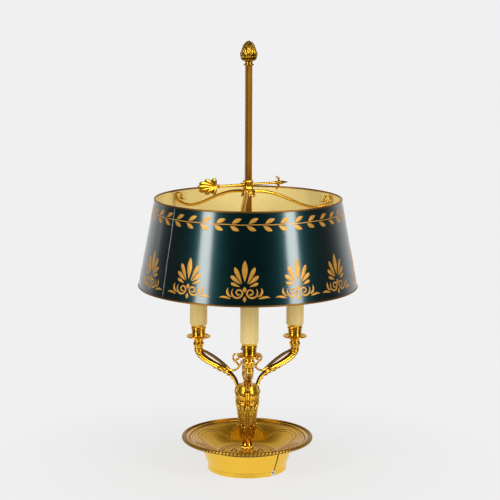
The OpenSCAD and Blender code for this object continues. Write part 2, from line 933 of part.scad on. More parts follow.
// A strap from the cup's floor up to the lamp holder
module holder_bracket(i) {
    strap_w = 6;
    plate_r = cup_foot_r - cup_wall - slip_gap;
    strap_x = plate_r - bracket_t;
    top = holder_z - seat_gap;
    color(steel)
    at_candle(i)
        difference() {
            union() {
                translate([0, 0, bracket_z]) cylinder(r = plate_r, h = bracket_t, $fn = small_fn);
                translate([strap_x - bracket_t, -strap_w / 2, bracket_z])
                    cube([bracket_t, strap_w, top - bracket_z]);
                translate([0, -strap_w / 2, top - bracket_t])
                    cube([strap_x, strap_w, bracket_t]);
            }
            translate([0, 0, bracket_z - cut])
                cylinder(r = nipple_hole_r, h = bracket_t + 2 * cut, $fn = small_fn);
        }
}

module lamp_holder(i) {
    shell_step = 1.2;
    color("whitesmoke")
    at_candle(i)
        translate([0, 0, holder_z])
            difference() {
                rotate_extrude()
                    polygon([
                        [0, 0],
                        [holder_r - shell_step, 0],
                        [holder_r - shell_step, holder_h * 0.3],
                        [holder_r, holder_h * 0.36],
                        [holder_r, holder_h - 1],
                        [holder_r - 1, holder_h],
                        [0, holder_h]
                    ]);
                translate([0, 0, socket_floor_t])
                    cylinder(r = socket_r, h = holder_h, $fn = small_fn);
            }
}

module candle_sleeve(i) {
    color("wheat")
    at_candle(i)
        translate([0, 0, sleeve_z])
            difference() {
                cylinder(r = sleeve_r, h = sleeve_h);
                translate([0, 0, -cut])
                    cylinder(r = sleeve_bore_r, h = sleeve_h + 2 * cut);
            }
}

module bulb_cap(i) {
    tip_r = 2.4;
    tip_h = 3;
    color(steel)
    at_candle(i)
        translate([0, 0, cap_z])
            rotate_extrude($fn = small_fn)
                polygon([
                    [0, 0],
                    [tip_r, 0],
                    [tip_r + 0.6, 1],
                    [cap_r - 1, tip_h],
                    [cap_r, tip_h + 1],
                    [cap_r, cap_h],
                    [0, cap_h]
                ]);
}

// A small ball bulb on a short neck
module bulb_glass(i) {
    ball_z = bulb_h - bulb_r;
    neck_r = cap_r - slip_gap;
    neck_h = holder_z + holder_h - glass_z + 1;
    neck_top = asin((neck_r + 3) / bulb_r);
    color("white")
    at_candle(i)
        translate([0, 0, glass_z])
            rotate_extrude()
                polygon(concat(
                    [[0, 0], [neck_r, 0], [neck_r, neck_h]],
                    arc([0, ball_z], bulb_r, -90 + neck_top, 90, 20)
                ));
}

// ---- Upright and finial -------------------------------------------------

module rod_baluster() {
    socket_z = rod_foot_z - crown_top_z - seat_gap;
    color(brass)
    translate([0, 0, crown_top_z])
        difference() {
            union() {
                translate([0, 0, -baluster_tenon_h])
                    cylinder(r = baluster_tenon_r, h = baluster_tenon_h + 1, $fn = small_fn);
                rotate_extrude()
                    polygon(concat(
                        [[0, seat_gap]],
                        bezier(
                            [baluster_tenon_r + 1.2, seat_gap],
                            [baluster_tenon_r + 0.6, 5],
                            [baluster_r, 9],
                            [baluster_r, 18],
                            7
                        ),
                        bezier(
                            [baluster_r, 20],
                            [baluster_r, baluster_h - 12],
                            [baluster_r - 0.8, baluster_h - 9],
                            [baluster_r - 0.6, baluster_h - 4],
                            5
                        ),
                        [
                            [baluster_r, baluster_h - 3],
                            [baluster_r, baluster_h - 1],
                            [baluster_r - 0.8, baluster_h],
                            [0, baluster_h]
                        ]
                    ));
            }
            rotate([0, 0, rod_az])
                translate([-rod_socket / 2, -rod_socket / 2, socket_z])
                    cube([rod_socket, rod_socket, baluster_h]);
        }
}

module upright_rod() {
    color(brass)
    rotate([0, 0, rod_az])
        difference() {
            translate([-rod_side / 2, -rod_side / 2, rod_foot_z])
                cube([rod_side, rod_side, rod_top_z - rod_foot_z]);
            translate([0, 0, rod_top_z - stud_len - cut])
                cylinder(r = finial_stud_r + socket_gap, h = stud_len + 2 * cut, $fn = small_fn);
        }
}

// A pine cone in a cup of leaves
module finial() {
    flange_h = 2.2;
    waist_r = 5.4;
    waist_h = 5;
    cup_top = finial_h * 0.5;
    rows = 3;
    row_h = (finial_h - cup_top) / (rows + 0.5);
    leaf_count = 8;
    color(brass)
    translate([0, 0, rod_top_z + seat_gap]) {
        translate([0, 0, -stud_len])
            cylinder(r = finial_stud_r, h = stud_len + 1, $fn = small_fn);
        rotate_extrude()
            polygon(concat(
                [
                    [0, 0],
                    [finial_flange_r - 0.6, 0],
                    [finial_flange_r, flange_h / 2],
                    [finial_flange_r - 0.6, flange_h],
                    [waist_r + 0.6, flange_h + 0.4],
                    [waist_r, waist_h]
                ],
                bezier(
                    [waist_r + 0.4, waist_h + 1],
                    [finial_r - 2, waist_h + 3],
                    [finial_r, cup_top - 5],
                    [finial_r, cup_top],
                    6
                ),
                [
                    for (row = [0 : rows - 1])
                        let (
                            low = cup_top + row * row_h,
                            r0 = (finial_r - 0.8) * sqrt(1 - pow(row / (rows + 0.6), 2)),
                            r1 = (finial_r - 0.8) * sqrt(1 - pow((row + 0.9) / (rows + 0.6), 2))
                        )
                        each [[r0 - 0.9, low + 0.4], [r0, low + row_h * 0.4], [r1, low + row_h * 0.9]]
                ],
                [[2, finial_h - 1.2], [0, finial_h]]
            ));
        for (i = [0 : leaf_count - 1])
            rotate([0, 0, i * 360 / leaf_count])
                translate([finial_r - 1.6, 0, cup_top - 1])
                    scale([1, 1.8, 1.8])
                        sphere(1.9, $fn = 20);
    }
}

// ---- Shade carrier ------------------------------------------------------

module square_bar(side, z, h) {
    rotate([0, 0, rod_az])
        translate([-side / 2, -side / 2, z])
            cube([side, side, h]);
}

// The collar slides on the upright; its boss takes the key's screw
module collar() {
    lip = 0.4;
    lip_h = 1.6;
    color(brass)
    difference() {
        union() {
            square_bar(collar_w, collar_z, collar_h);
            square_bar(collar_w + 2 * lip, collar_top_z - 1.5 * lip_h, lip_h);
            square_bar(collar_w + 2 * lip, collar_z + lip_h / 2, lip_h);
            on_arrow()
                translate([0, 0, collar_w / 2 - cut])
                    cylinder(r = boss_r, h = boss_len + cut, $fn = small_fn);
        }
        square_bar(collar_bore, collar_z - cut, collar_h + 2 * cut);
        on_arrow() cylinder(r = key_bore_r, h = boss_end + cut, $fn = small_fn);
    }
}

// The hub hangs under the collar, with eight leaf points round its foot
module spider_hub() {
    point_count = 8;
    flare = 1.6;
    socket_r = spider_t + socket_gap;
    color(brass)
    difference() {
        union() {
            translate([0, 0, hub_z])
                rotate_extrude()
                    polygon([
                        [0, 2.4],
                        [hub_r + flare - 1, 2.4],
                        [hub_r + flare, 3.6],
                        [hub_r, 6],
                        [hub_r - 0.4, hub_h - 2],
                        [hub_r + 0.2, hub_h],
                        [0, hub_h]
                    ]);
            for (i = [0 : point_count - 1])
                rotate([0, 0, rod_az + (i + 0.5) * 360 / point_count])
                    translate([hub_r + flare - 1.6, 0, hub_z + 3.6])
                        rotate([0, 180 - 8, 0])
                            cylinder(r1 = 2.2, r2 = 0.3, h = 3.6, $fn = 24);
        }
        square_bar(collar_bore, hub_z - 2 * cut, hub_h + 4 * cut);
    }
}

// Points of a shade arm in its own plane
spider_root = [hub_r + 0.4, hub_z + hub_h - 3.7];
scroll_centre = [scroll_reach, scroll_z];
spider_low = [scroll_reach - 2 * scroll_r, spider_low_z];

function spider_path() =
    let (
        start = scroll_centre + scroll_start_r * [cos(scroll_from), sin(scroll_from)],
        sweep = spider_low.x - spider_root.x,
        rise = (start.x - spider_low.x) * 0.4
    )
    concat(
        bezier(
            spider_root,
            spider_root + [0.43 * sweep, 0],
            spider_low - [0.285 * sweep, 0],
            spider_low,
            16
        ),
        tail(bezier(
            spider_low,
            spider_low + [rise, 0],
            start + rise * [sin(scroll_from), -cos(scroll_from)],
            start,
            5
        )),
        tail(spiral(scroll_centre, scroll_start_r, scroll_end_r, scroll_from, scroll_to, 20))
    );

module spider_arm(i) {
    path = spider_path();
    eye = path[len(path) - 1];
    color(brass)
    at_spider(i) {
        swept_bar(path, spider_t * [1.15, 1, 1, 0.85, 0.6], spider_w * [1, 1, 1, 0.9, 0.7]);
        translate([eye.x, 0, eye.y])
            rotate([90, 0, 0])
                cylinder(r = 1.9, h = 6, center = true, $fn = 24);
    }
}

module shade_shell(inner, outer, z0, z1, angle = 360) {
    function cone_r(z) = shade_top_r + (shade_top_z - z) * shade_slope;
    rotate_extrude(angle = angle)
        polygon([
            [cone_r(z0) + inner, z0],
            [cone_r(z0) + outer, z0],
            [cone_r(z1) + outer, z1],
            [cone_r(z1) + inner, z1]
        ]);
}

// One sheet, whose end laps over its start at the seam
module shade_panel() {
    lap_angle = 5;
    margin = rim_r + 1;
    color("darkgreen")
    union() {
        shade_shell(-shade_wall, 0, shade_z, shade_top_z);
        rotate([0, 0, shade_seam_az])
            shade_shell(-shade_wall / 2, shade_wall, shade_z + margin, shade_top_z - margin, lap_angle);
    }
}

// A wire rolled round an edge of the shade: a round section with a slot that
// takes the sheet, on its side towards the shade (way is 1 upward, -1 downward)
module rolled_rim(r, z, way) {
    slot = shade_wall / 2 + socket_gap;
    slot_turn = asin(slot / rim_r);
    slot_floor = -slip_gap;
    color(brass)
    rotate_extrude()
        polygon([
            for (p = concat(
                arc([0, 0], rim_r, 90 + slot_turn, 450 - slot_turn, 28),
                [[slot, slot_floor], [-slot, slot_floor]]
            ))
                [r - shade_wall / 2 + p.x - way * shade_slope * max(p.y, 0), z + way * p.y]
        ]);
}

module shade_top_rim() {
    rolled_rim(shade_top_r, shade_top_z, -1);
}

module shade_bottom_rim() {
    rolled_rim(shade_bottom_r, shade_z, 1);
}

// The pointed half of the arrow is fixed on the far side of the collar
module arrow_head() {
    start = collar_w / 2 + seat_gap;
    point_len = 20;
    point_r = 3.1;
    barb_x = arrow_tip - point_len;
    color(brass)
    on_arrow() rotate([0, 180, 0]) {
        translate([0, 0, start]) cylinder(r = 3, h = 2, $fn = small_fn);
        translate([0, 0, start]) cylinder(r = arrow_shaft_r, h = barb_x - start + 2, $fn = small_fn);
        translate([0, 0, barb_x])
            rotate_extrude($fn = small_fn)
                polygon([
                    [0, 0],
                    [arrow_shaft_r, 0],
                    [point_r, point_len * 0.26],
                    [point_r * 0.8, point_len * 0.5],
                    [0.4, point_len],
                    [0, point_len]
                ]);
        for (side = [-1, 1])
            barb(side, barb_x);
    }
}

// One side of the arrow's cross, ending in a round knob and a small curl
module barb(side, z) {
    knob_r = 2.1;
    curl_r = 1.3;
    reach = barb_span / 2 - knob_r;
    neck = 2.4;
    rotate([90, 0, 0])
        linear_extrude(2.6, center = true)
            scale([side, 1]) {
                polygon([
                    [0, z - 1],
                    [reach * 0.4, z + 1.6],
                    [reach, z + 1],
                    [reach, z + 1 + neck],
                    [reach * 0.45, z + 1.6 + neck],
                    [0, z + 3 * neck]
                ]);
                translate([reach, z + 1 + neck / 2]) circle(knob_r, $fn = small_fn);
                translate([reach - curl_r, z + 1 + neck + curl_r]) circle(curl_r, $fn = small_fn);
            }
}

module clamp_pad() {
    color(steel)
    on_arrow()
        translate([0, 0, rod_side / 2 + pad_gap])
            cylinder(r = pad_r, h = pad_t, $fn = small_fn);
}

// The feathered half of the arrow is the clamp screw's handle
module arrow_key() {
    petal_count = 7;
    spread = 120;
    petal_w = 5.6;
    shorten = 0.01;   // share of its length that a petal loses per degree of turn
    hilt = arrow_tail - feather_len;
    color(brass)
    on_arrow() {
        translate([0, 0, key_tip])
            cylinder(r = key_screw_r, h = key_shoulder - key_tip + cut, $fn = small_fn);
        translate([0, 0, key_shoulder]) cylinder(r = 3, h = 2.4, $fn = small_fn);
        translate([0, 0, key_shoulder])
            cylinder(r = arrow_shaft_r, h = hilt + 4 - key_shoulder, $fn = small_fn);
        translate([0, 0, hilt])
            rotate([90, 0, 0])
                linear_extrude(feather_t, center = true)
                    for (i = [0 : petal_count - 1])
                        let (a = (i / (petal_count - 1) - 0.5) * spread)
                        rotate([0, 0, 90 + a])
                            leaf_outline(feather_len * (1 - shorten * abs(a)), petal_w);
    }
}

// ---- Drawing ------------------------------------------------------------

foot_band();
base_dish();
dish_border();
base_weight();
base_board();
felt_pad();
cord_bushing();
wire_connector();
tie_tube();
tube_nut();
tube_washer();
stem_foot();
stem_neck();
stem_quiver();
stem_crown();
rod_baluster();
upright_rod();
finial();
candle_arm(1);  // candle_arm_1
candle_arm(2);  // candle_arm_2
candle_arm(3);  // candle_arm_3
arm_knop(1);  // arm_knop_1
arm_knop(2);  // arm_knop_2
arm_knop(3);  // arm_knop_3
drip_pan(1);  // drip_pan_1
drip_pan(2);  // drip_pan_2
drip_pan(3);  // drip_pan_3
candle_cup(1);  // candle_cup_1
candle_cup(2);  // candle_cup_2
candle_cup(3);  // candle_cup_3
cup_screw();
nipples();
nipple_nuts();
holder_bracket(1);  // holder_bracket_1
holder_bracket(2);  // holder_bracket_2
holder_bracket(3);  // holder_bracket_3
lamp_holder(1);  // lamp_holder_1
lamp_holder(2);  // lamp_holder_2
lamp_holder(3);  // lamp_holder_3
candle_sleeve(1);  // candle_sleeve_1
candle_sleeve(2);  // candle_sleeve_2
candle_sleeve(3);  // candle_sleeve_3
bulb_cap(1);  // bulb_cap_1
bulb_cap(2);  // bulb_cap_2
bulb_cap(3);  // bulb_cap_3
bulb_glass(1);  // bulb_glass_1
bulb_glass(2);  // bulb_glass_2
bulb_glass(3);  // bulb_glass_3
collar();
spider_hub();
spider_arm(1);  // spider_arm_1
spider_arm(2);  // spider_arm_2
spider_arm(3);  // spider_arm_3
shade_panel();
shade_top_rim();
shade_bottom_rim();
arrow_head();
clamp_pad();
arrow_key();
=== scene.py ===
"""Bouillotte lamp, dressed: finer meshes and procedural materials over the CAD frame.

Lengths in the shape code are millimetres, as in the part's source, and are turned into metres
when a mesh is made. Angles are degrees. The camera looks along +Y.
"""

import math

import bmesh
import bpy
import numpy as np
from mathutils import Matrix, Vector


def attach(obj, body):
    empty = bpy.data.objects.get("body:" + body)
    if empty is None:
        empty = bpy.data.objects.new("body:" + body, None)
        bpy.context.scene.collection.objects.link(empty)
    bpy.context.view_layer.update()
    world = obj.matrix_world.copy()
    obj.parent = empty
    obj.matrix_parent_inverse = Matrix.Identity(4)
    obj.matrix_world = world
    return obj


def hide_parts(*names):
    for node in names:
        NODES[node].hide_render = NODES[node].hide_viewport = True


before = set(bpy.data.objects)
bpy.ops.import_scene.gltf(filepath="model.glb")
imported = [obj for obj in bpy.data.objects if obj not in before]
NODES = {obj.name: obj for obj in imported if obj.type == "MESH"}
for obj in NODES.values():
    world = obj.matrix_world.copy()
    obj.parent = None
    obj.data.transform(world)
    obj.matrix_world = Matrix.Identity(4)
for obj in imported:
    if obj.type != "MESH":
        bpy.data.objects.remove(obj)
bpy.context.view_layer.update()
SCENE = bpy.context.scene
MM = 0.001

# ---- Sizes shared with the part's source ------------------------------------

FOOT_R, FOOT_TOP_R, FOOT_H, FOOT_WALL, FOOT_SEAM = 59, 69, 35, 1.6, 310
NOTCH_R, NOTCH_Z = 3.7, 3.9
DISH_R, DISH_FLOOR_R, DISH_Z, DISH_WALL = 97.6, 40, 23.843, 2
DISH_RUN, DISH_RISE, DISH_LEDGE_Z, DISH_LEDGE_R, BORDER_R = 47.9, 23, 46.843, 87.9, 94.9
TUBE_HOLE_R = 5.15
STEM_FOOT_Z, NECK_Z, QUIVER_Z, CROWN_Z, CROWN_TOP_Z = 23.943, 34.943, 43.943, 97.943, 127.943
ARM_AZ, ARM_R, ARM_ROOT_R, ARM_ROOT_Z, ARM_RISE = 271.8, 83.6, 16.8, 20, 75
NECK_R, VOLUTE_R, BALUSTER_R = 5.9, 6.7, 7.8
KNOP_Z, PAN_Z, CUP_Z, SLEEVE_Z, SLEEVE_H = 173.043, 188.143, 190.943, 210.043, 85
NIPPLE_HOLE_R = 5.05
GLASS_Z, BULB_R, BULB_H, CAP_R = 289.243, 20, 51, 6.9
ROD_AZ, ROD_SIDE, ROD_FOOT_Z, ROD_TOP_Z = 207, 8, 139.943, 599.143
SHADE_TOP_R, SHADE_BOTTOM_R, SHADE_Z, SHADE_TOP_Z, SHADE_WALL = 136.6, 160.5, 278.243, 405.843, 0.8
SHADE_SLOPE = (SHADE_BOTTOM_R - SHADE_TOP_R) / (SHADE_TOP_Z - SHADE_Z)
SEAM_AZ, SHADE_LAP, RIM_R = 221.2, 0.75, 1.6
HUB_Z, HUB_H, HUB_R, SPIDER_AZ = 408.043, 12, 8.6, 264
SCROLL_R, SCROLL_Z, SPIDER_T, SPIDER_LOW_Z, SCROLL_FROM, SCROLL_TO = 9, 398.043, 2, 387.043, -75, 215
COLLAR_Z, COLLAR_H, COLLAR_W, COLLAR_BORE = 420.143, 13, 11.2, 8.16
ARROW_Z, ARROW_TAIL, ARROW_TIP, ARROW_SHAFT_R = 426.643, 83, 66, 1.8

# ---- Numbers and curves -----------------------------------------------------


def rad(a):
    return np.radians(a)


def bez(a, b, c, d, n=16):
    """A cubic curve in a plane, from a to d, as an array of n + 1 points."""
    t = np.linspace(0, 1, n + 1)[:, None]
    a, b, c, d = (np.asarray(p, float) for p in (a, b, c, d))
    return (1 - t) ** 3 * a + 3 * (1 - t) ** 2 * t * b + 3 * (1 - t) * t * t * c + t**3 * d


def arc(centre, r0, a0, a1, n=16, r1=None):
    """An arc, or a spiral where r1 is given."""
    a = rad(np.linspace(a0, a1, n + 1))
    r = np.linspace(r0, r0 if r1 is None else r1, n + 1)
    return np.c_[centre[0] + r * np.cos(a), centre[1] + r * np.sin(a)]


def join(*parts):
    """Points and runs of points as one array, without repeats."""
    out = np.concatenate([np.atleast_2d(np.asarray(p, float)) for p in parts])
    return out[np.r_[True, np.linalg.norm(np.diff(out, axis=0), axis=1) > 1e-6]]


def fine(points, step):
    """The same line with points no further apart than step."""
    out = [points[0]]
    for a, b in zip(points[:-1], points[1:]):
        n = max(1, int(math.ceil(np.linalg.norm(b - a) / step)))
        out.extend(a + (b - a) * (k + 1) / n for k in range(n))
    return np.array(out)


def even(points, n):
    """n points at even distances along a line."""
    s = np.r_[0, np.cumsum(np.linalg.norm(np.diff(points, axis=0), axis=1))]
    t = np.linspace(0, s[-1], n)
    return np.stack([np.interp(t, s, points[:, k]) for k in range(points.shape[1])], 1)


def headings(path):
    """Unit vectors along a line in a plane and to its left, at each of its points."""
    way = np.gradient(path, axis=0)
    way /= np.maximum(np.linalg.norm(way, axis=1), 1e-9)[:, None]
    return way, np.c_[-way[:, 1], way[:, 0]]


def along(stops, t):
    """Values of evenly spaced stops, read at the fractions t."""
    return np.interp(t, np.linspace(0, 1, len(stops)), stops)


def smooth(x, a, b):
    """0 up to a and 1 from b on, with an easy slope between them."""
    t = np.clip((x - a) / (b - a), 0, 1)
    return t * t * (3 - 2 * t)


def ridge(x, w):
    """A round bump of half width w at x = 0."""
    return np.clip(1 - (x / w) ** 2, 0, 1) ** 0.5


def wave(a, count, turned=0):
    """Angle from the nearest of count spokes, -0.5 to 0.5 of the pitch."""
    x = (a - turned) * count / 360
    return x - np.round(x)


def across(a, r, count, turned=0):
    """Distance round the axis from the nearest of count spokes."""
    return wave(a, count, turned) * 2 * math.pi * r / count


def leaf(u, t, w, lobes, blunt):
    """Height of a carved leaf, 0 to 1: u across, t from base to tip, w its half width."""
    t1 = np.clip(t, 0, 1)
    edge = w * np.sin(np.pi * t1**0.75) ** blunt * (1 + 0.1 * np.cos(2 * np.pi * lobes * t1))
    x = np.abs(u) / np.maximum(edge, 1e-3)
    body = np.clip(1 - x**3, 0, 1) ** 0.5
    vein = 0.5 + 0.5 * np.cos(2 * np.pi * (lobes * 2.2 * t1 - 1.5 * x))
    rib = np.exp(-((u / (0.12 * w)) ** 2))
    inside = (x < 1) & (t > 0) & (t < 1)
    return np.where(inside, body * (0.6 + 0.22 * vein) + 0.25 * rib, 0)


def leaves(a, r, at, rings, lobes=3, blunt=0.6):
    """Relief of rings of carved leaves; where they overlap, the higher one shows.

    Each ring is (count, turned, base, tip, half width, height), with base and tip measured like at.
    """
    d = np.zeros(np.broadcast(a, r).shape)
    for count, turned, base, tip, w, high in rings:
        t = (at - base) / (tip - base)
        d = np.maximum(d, high * leaf(across(a, r, count, turned), t, w, lobes, blunt))
    return d


# ---- Meshes -----------------------------------------------------------------

PLAIN = 0.7  # how open plain ground lies, from 0 in a crevice to 1 on a crest


def turn(P, az):
    c, s = math.cos(math.radians(az)), math.sin(math.radians(az))
    x, y, z = P[..., 0], P[..., 1], P[..., 2]
    return np.stack([x * c - y * s, x * s + y * c, z], -1)


def shift(P, x=0.0, z=0.0):
    return P + np.array([x, 0, z], float)


class Build:
    """Collects grids of points and makes one object of them."""

    def __init__(self):
        self.v, self.f, self.cav, self.mat, self.n = [], [], [], [], 0

    def grid(self, P, round_u=False, round_v=True, cav=PLAIN, mat=0, caps=False):
        nu, nv = P.shape[:2]
        ids = np.arange(nu * nv).reshape(nu, nv) + self.n
        a = np.vstack([ids, ids[:1]]) if round_u else ids
        a = np.hstack([a, a[:, :1]]) if round_v else a
        quads = np.stack([a[:-1, :-1], a[1:, :-1], a[1:, 1:], a[:-1, 1:]], -1).reshape(-1, 4)
        self.f += quads.tolist()
        self.mat += np.broadcast_to(mat, (a.shape[0] - 1, a.shape[1] - 1)).ravel().tolist()
        self.v.append(P.reshape(-1, 3))
        self.cav.append(np.broadcast_to(cav, (nu, nv)).ravel())
        self.n += nu * nv
        if caps:
            for ring in (ids[0][::-1], ids[-1]):
                self.v.append(P.reshape(-1, 3)[ring - ids[0, 0]].mean(0)[None])
                self.cav.append(np.full(1, PLAIN))
                self.f += [[int(p), int(q), self.n] for p, q in zip(ring, np.roll(ring, -1))]
                self.mat += [0] * len(ring)
                self.n += 1
        return self

    def ring(self, P, **more):
        """A grid that closes both ways, as a turned solid does."""
        return self.grid(P, True, **more)

    def bar(self, P, **more):
        """A grid that closes round, with both its ends capped."""
        return self.grid(P, caps=True, **more)

    def turned(self, outline, count=96, relief=None, step=1.0, z=0.0):
        P, cav = lathe(outline, count, relief, step, z)
        return self.ring(P, cav=cav)

    def swept(self, az, path, thick, wide, sides=12, z=0.0, **more):
        """A capped bar along a path, turned to its bearing and lifted to z."""
        return self.bar(turn(shift(tube(path, thick, wide, sides)[0], z=z), az), **more)

    def make(self, name, node, looks, body="lamp", slot="gilt_brass", sharp=60):
        """One object of all grids. It rides on a body, and stands for a CAD node unless node is None."""
        me = bpy.data.meshes.new(name)
        me.from_pydata((np.concatenate(self.v) * MM).tolist(), [], self.f)
        cavity = me.attributes.new("cavity", "FLOAT", "POINT")
        cavity.data.foreach_set("value", np.concatenate(self.cav).astype(np.float32))
        me.polygons.foreach_set("material_index", np.array(self.mat, np.int32))
        bm = bmesh.new()
        bm.from_mesh(me)
        bmesh.ops.remove_doubles(bm, verts=bm.verts, dist=2e-6)
        bmesh.ops.recalc_face_normals(bm, faces=bm.faces)
        bm.to_mesh(me)
        bm.free()
        for look in looks:
            me.materials.append(look)
        me.polygons.foreach_set("use_smooth", np.ones(len(me.polygons), bool))
        me.set_sharp_from_angle(angle=math.radians(sharp))
        ob = bpy.data.objects.new(name, me)
        SCENE.collection.objects.link(ob)
        if node:
            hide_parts(node)
        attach(ob, body)


def soften(d, rounds=14):
    """The relief with its detail smoothed away."""
    for _ in range(rounds):
        d = (np.roll(d, 1, 0) + 2 * d + np.roll(d, -1, 0)) / 4
        d = (np.roll(d, 1, 1) + 2 * d + np.roll(d, -1, 1)) / 4
    return d


def shelter(d, depth=0.30):
    """How open each point of a relief lies: 0 in a crevice, PLAIN on plain ground, 1 on a crest."""
    return np.clip(PLAIN + (d - soften(d)) / depth, 0, 1)


def lathe(outline, count=96, relief=None, step=1.0, z=0.0):
    """Points of a turned solid that stands at z, and how open each lies in its relief.

    outline is a closed loop of [radius, height above z]. relief(angle, radius, height above z)
    gives the rise along the outline's outward normal.
    """
    loop = np.asarray(outline, float) + [0, z]
    q = fine(np.vstack([loop, loop[:1]]), step)[:-1]
    way = np.roll(q, -1, 0) - np.roll(q, 1, 0)
    way /= np.maximum(np.linalg.norm(way, axis=1), 1e-9)[:, None]
    area = 0.5 * np.sum(q[:, 0] * np.roll(q[:, 1], -1) - np.roll(q[:, 0], -1) * q[:, 1])
    out = np.c_[way[:, 1], -way[:, 0]] * (1 if area > 0 else -1)
    A = (np.arange(count) * 360 / count)[:, None]
    d = relief(A, q[None, :, 0], q[None, :, 1] - z) if relief else np.zeros((1, 1))
    d = np.broadcast_to(d, (count, len(q)))
    r = np.maximum(q[:, 0] + out[:, 0] * d, 0)
    return np.stack([r * np.cos(rad(A)), r * np.sin(rad(A)), q[:, 1] + out[:, 1] * d], -1), shelter(d)


def tube(path, thick, wide, sides=16, flute=None, square=1.0):
    """A bar swept along a path of [x, z] in the plane y = 0, with its two half widths as stops."""
    n = len(path)
    side = headings(path)[1]
    t = np.linspace(0, 1, n)
    A = rad((np.arange(sides) + 0.5) * 360 / sides)[None, :]
    f = flute(t[:, None], np.degrees(A)) if flute else np.ones((1, 1))
    f = np.broadcast_to(f, (n, sides))
    c, s = (np.sign(w) * np.abs(w) ** square for w in (np.cos(A), np.sin(A)))
    half = along(thick, t)[:, None] * f
    P = np.stack([path[:, :1] + side[:, :1] * half * c, along(wide, t)[:, None] * f * s,
                  path[:, 1:] + side[:, 1:] * half * c], -1)
    return P, shelter(half)


def blob(centre, r, sides=16):
    """A small ball, as rings of points; r may be three half widths."""
    t = rad(np.linspace(0, 180, sides // 2 + 1))[:, None]
    a = rad(np.arange(sides) * 360 / sides)[None, :]
    P = np.stack([np.sin(t) * np.cos(a), np.sin(t) * np.sin(a), np.cos(t) + 0 * a], -1)
    return P * r + np.asarray(centre, float)


# ---- Materials --------------------------------------------------------------


class Nodes:
    """Short calls that build a node tree."""

    def __init__(self, tree):
        self.t = tree

    def feed(self, node, **ins):
        """Links or sets a node's inputs, which are given by name, or as i and a number."""
        for k, v in ins.items():
            socket = node.inputs[int(k[1:]) if k[1:].isdigit() else k.replace("_", " ")]
            if isinstance(v, bpy.types.NodeSocket):
                self.t.links.new(v, socket)
            elif socket.type == "RGBA":
                socket.default_value = (*v, 1)
            else:
                socket.default_value = v
        return node

    def node(self, kind, props=None, **ins):
        n = self.t.nodes.new("ShaderNode" + kind)
        for k, v in (props or {}).items():
            setattr(n, k, v)
        return self.feed(n, **ins)

    def ramp(self, fac, *stops):
        n = self.node("ValToRGB", Fac=fac)
        elements = n.color_ramp.elements
        while len(elements) < len(stops):
            elements.new(0.5)
        for k, (position, colour) in zip(elements, stops):
            k.position = position
            k.color = (*colour, 1)
        return n.outputs["Color"]

    def map(self, v, a, b, c, d):
        """v read off the range a to b onto the range c to d."""
        return self.node("MapRange", Value=v, From_Min=a, From_Max=b, To_Min=c, To_Max=d).outputs["Result"]

    def math(self, op, a, b):
        return self.node("Math", {"operation": op}, i0=a, i1=b).outputs[0]

    def shaders(self, share, a, b):
        return self.node("MixShader", i0=share, i1=a, i2=b).outputs[0]


class Look(Nodes):
    """A node material built round a Principled shader."""

    def __init__(self, name, **sockets):
        self.m = bpy.data.materials.new(name)
        self.m.use_nodes = True
        super().__init__(self.m.node_tree)
        self.b = next(n for n in self.t.nodes if n.type == "BSDF_PRINCIPLED")
        self.co = self.node("TexCoord").outputs["Object"]
        self.put(**sockets)

    def put(self, **ins):
        """Feeds the shader's inputs and gives the material."""
        self.feed(self.b, **ins)
        return self.m

    def noise(self, scale, detail=2.0, rough=0.5, stretch=None):
        at = self.node("Mapping", Vector=self.co, Scale=stretch).outputs[0] if stretch else self.co
        return self.node("TexNoise", Vector=at, Scale=scale, Detail=detail, Roughness=rough).outputs["Fac"]

    def mix(self, share, a, b):
        return self.node("Mix", {"data_type": "RGBA"}, i0=share, i6=a, i7=b).outputs[2]

    def drift(self, v, lo, hi, a, b, share=1):
        """Colour a where v is below lo, mixed with this share of b where v is above hi."""
        return self.mix(self.map(v, lo, hi, 0, share), a, b)

    def cavity(self):
        return self.node("Attribute", {"attribute_name": "cavity"}).outputs["Fac"]

    def bump(self, height, strength, distance, base=None):
        n = self.node("Bump", Height=height, Strength=strength, Distance=distance)
        if base:
            self.feed(n, Normal=base)
        return n.outputs["Normal"]


def brass_look(name, light, deep, hollow, rough, haze=0.06, tarnish=0.25, wavy=0.04):
    """Polished brass: the tone drifts, hollows are darker and duller (their dark tone partly patina, partly
    painted shade), crests are painted lighter (painted highlight), and fine rubbing breaks the gloss.
    """
    k = Look(name, Metallic=1.0, IOR=1.5)
    openness = k.cavity()
    high = k.map(openness, 0.12, 0.66, 0, 1)
    col = k.drift(k.noise(22, 3, 0.55), 0.35, 0.7, light, deep)
    col = k.drift(k.noise(150, 4, 0.65), 0.56, 0.74, col, tuple(c * 0.45 for c in deep), tarnish)
    # Hollows take the hollow tone: partly patina, partly painted shade in crevices
    col = k.mix(high, hollow, col)
    # Painted highlight: crests are painted in a lighter tone of the brass
    col = k.drift(openness, 0.78, 1.0, col, tuple(min(1, c * 1.3) for c in light), 0.7)
    rub = k.map(k.noise(420, 3, 0.6), 0.3, 0.7, rough - haze / 2, rough + haze)
    scratch = k.bump(k.noise(1600, 2, 0.5, stretch=(1, 1, 0.15)), 0.05, 0.0001)
    n = k.bump(k.noise(60, 2), wavy, 0.001, scratch)
    return k.put(Base_Color=col, Roughness=k.math("ADD", rub, k.map(high, 0, 1, 0.25, 0)), Normal=n)
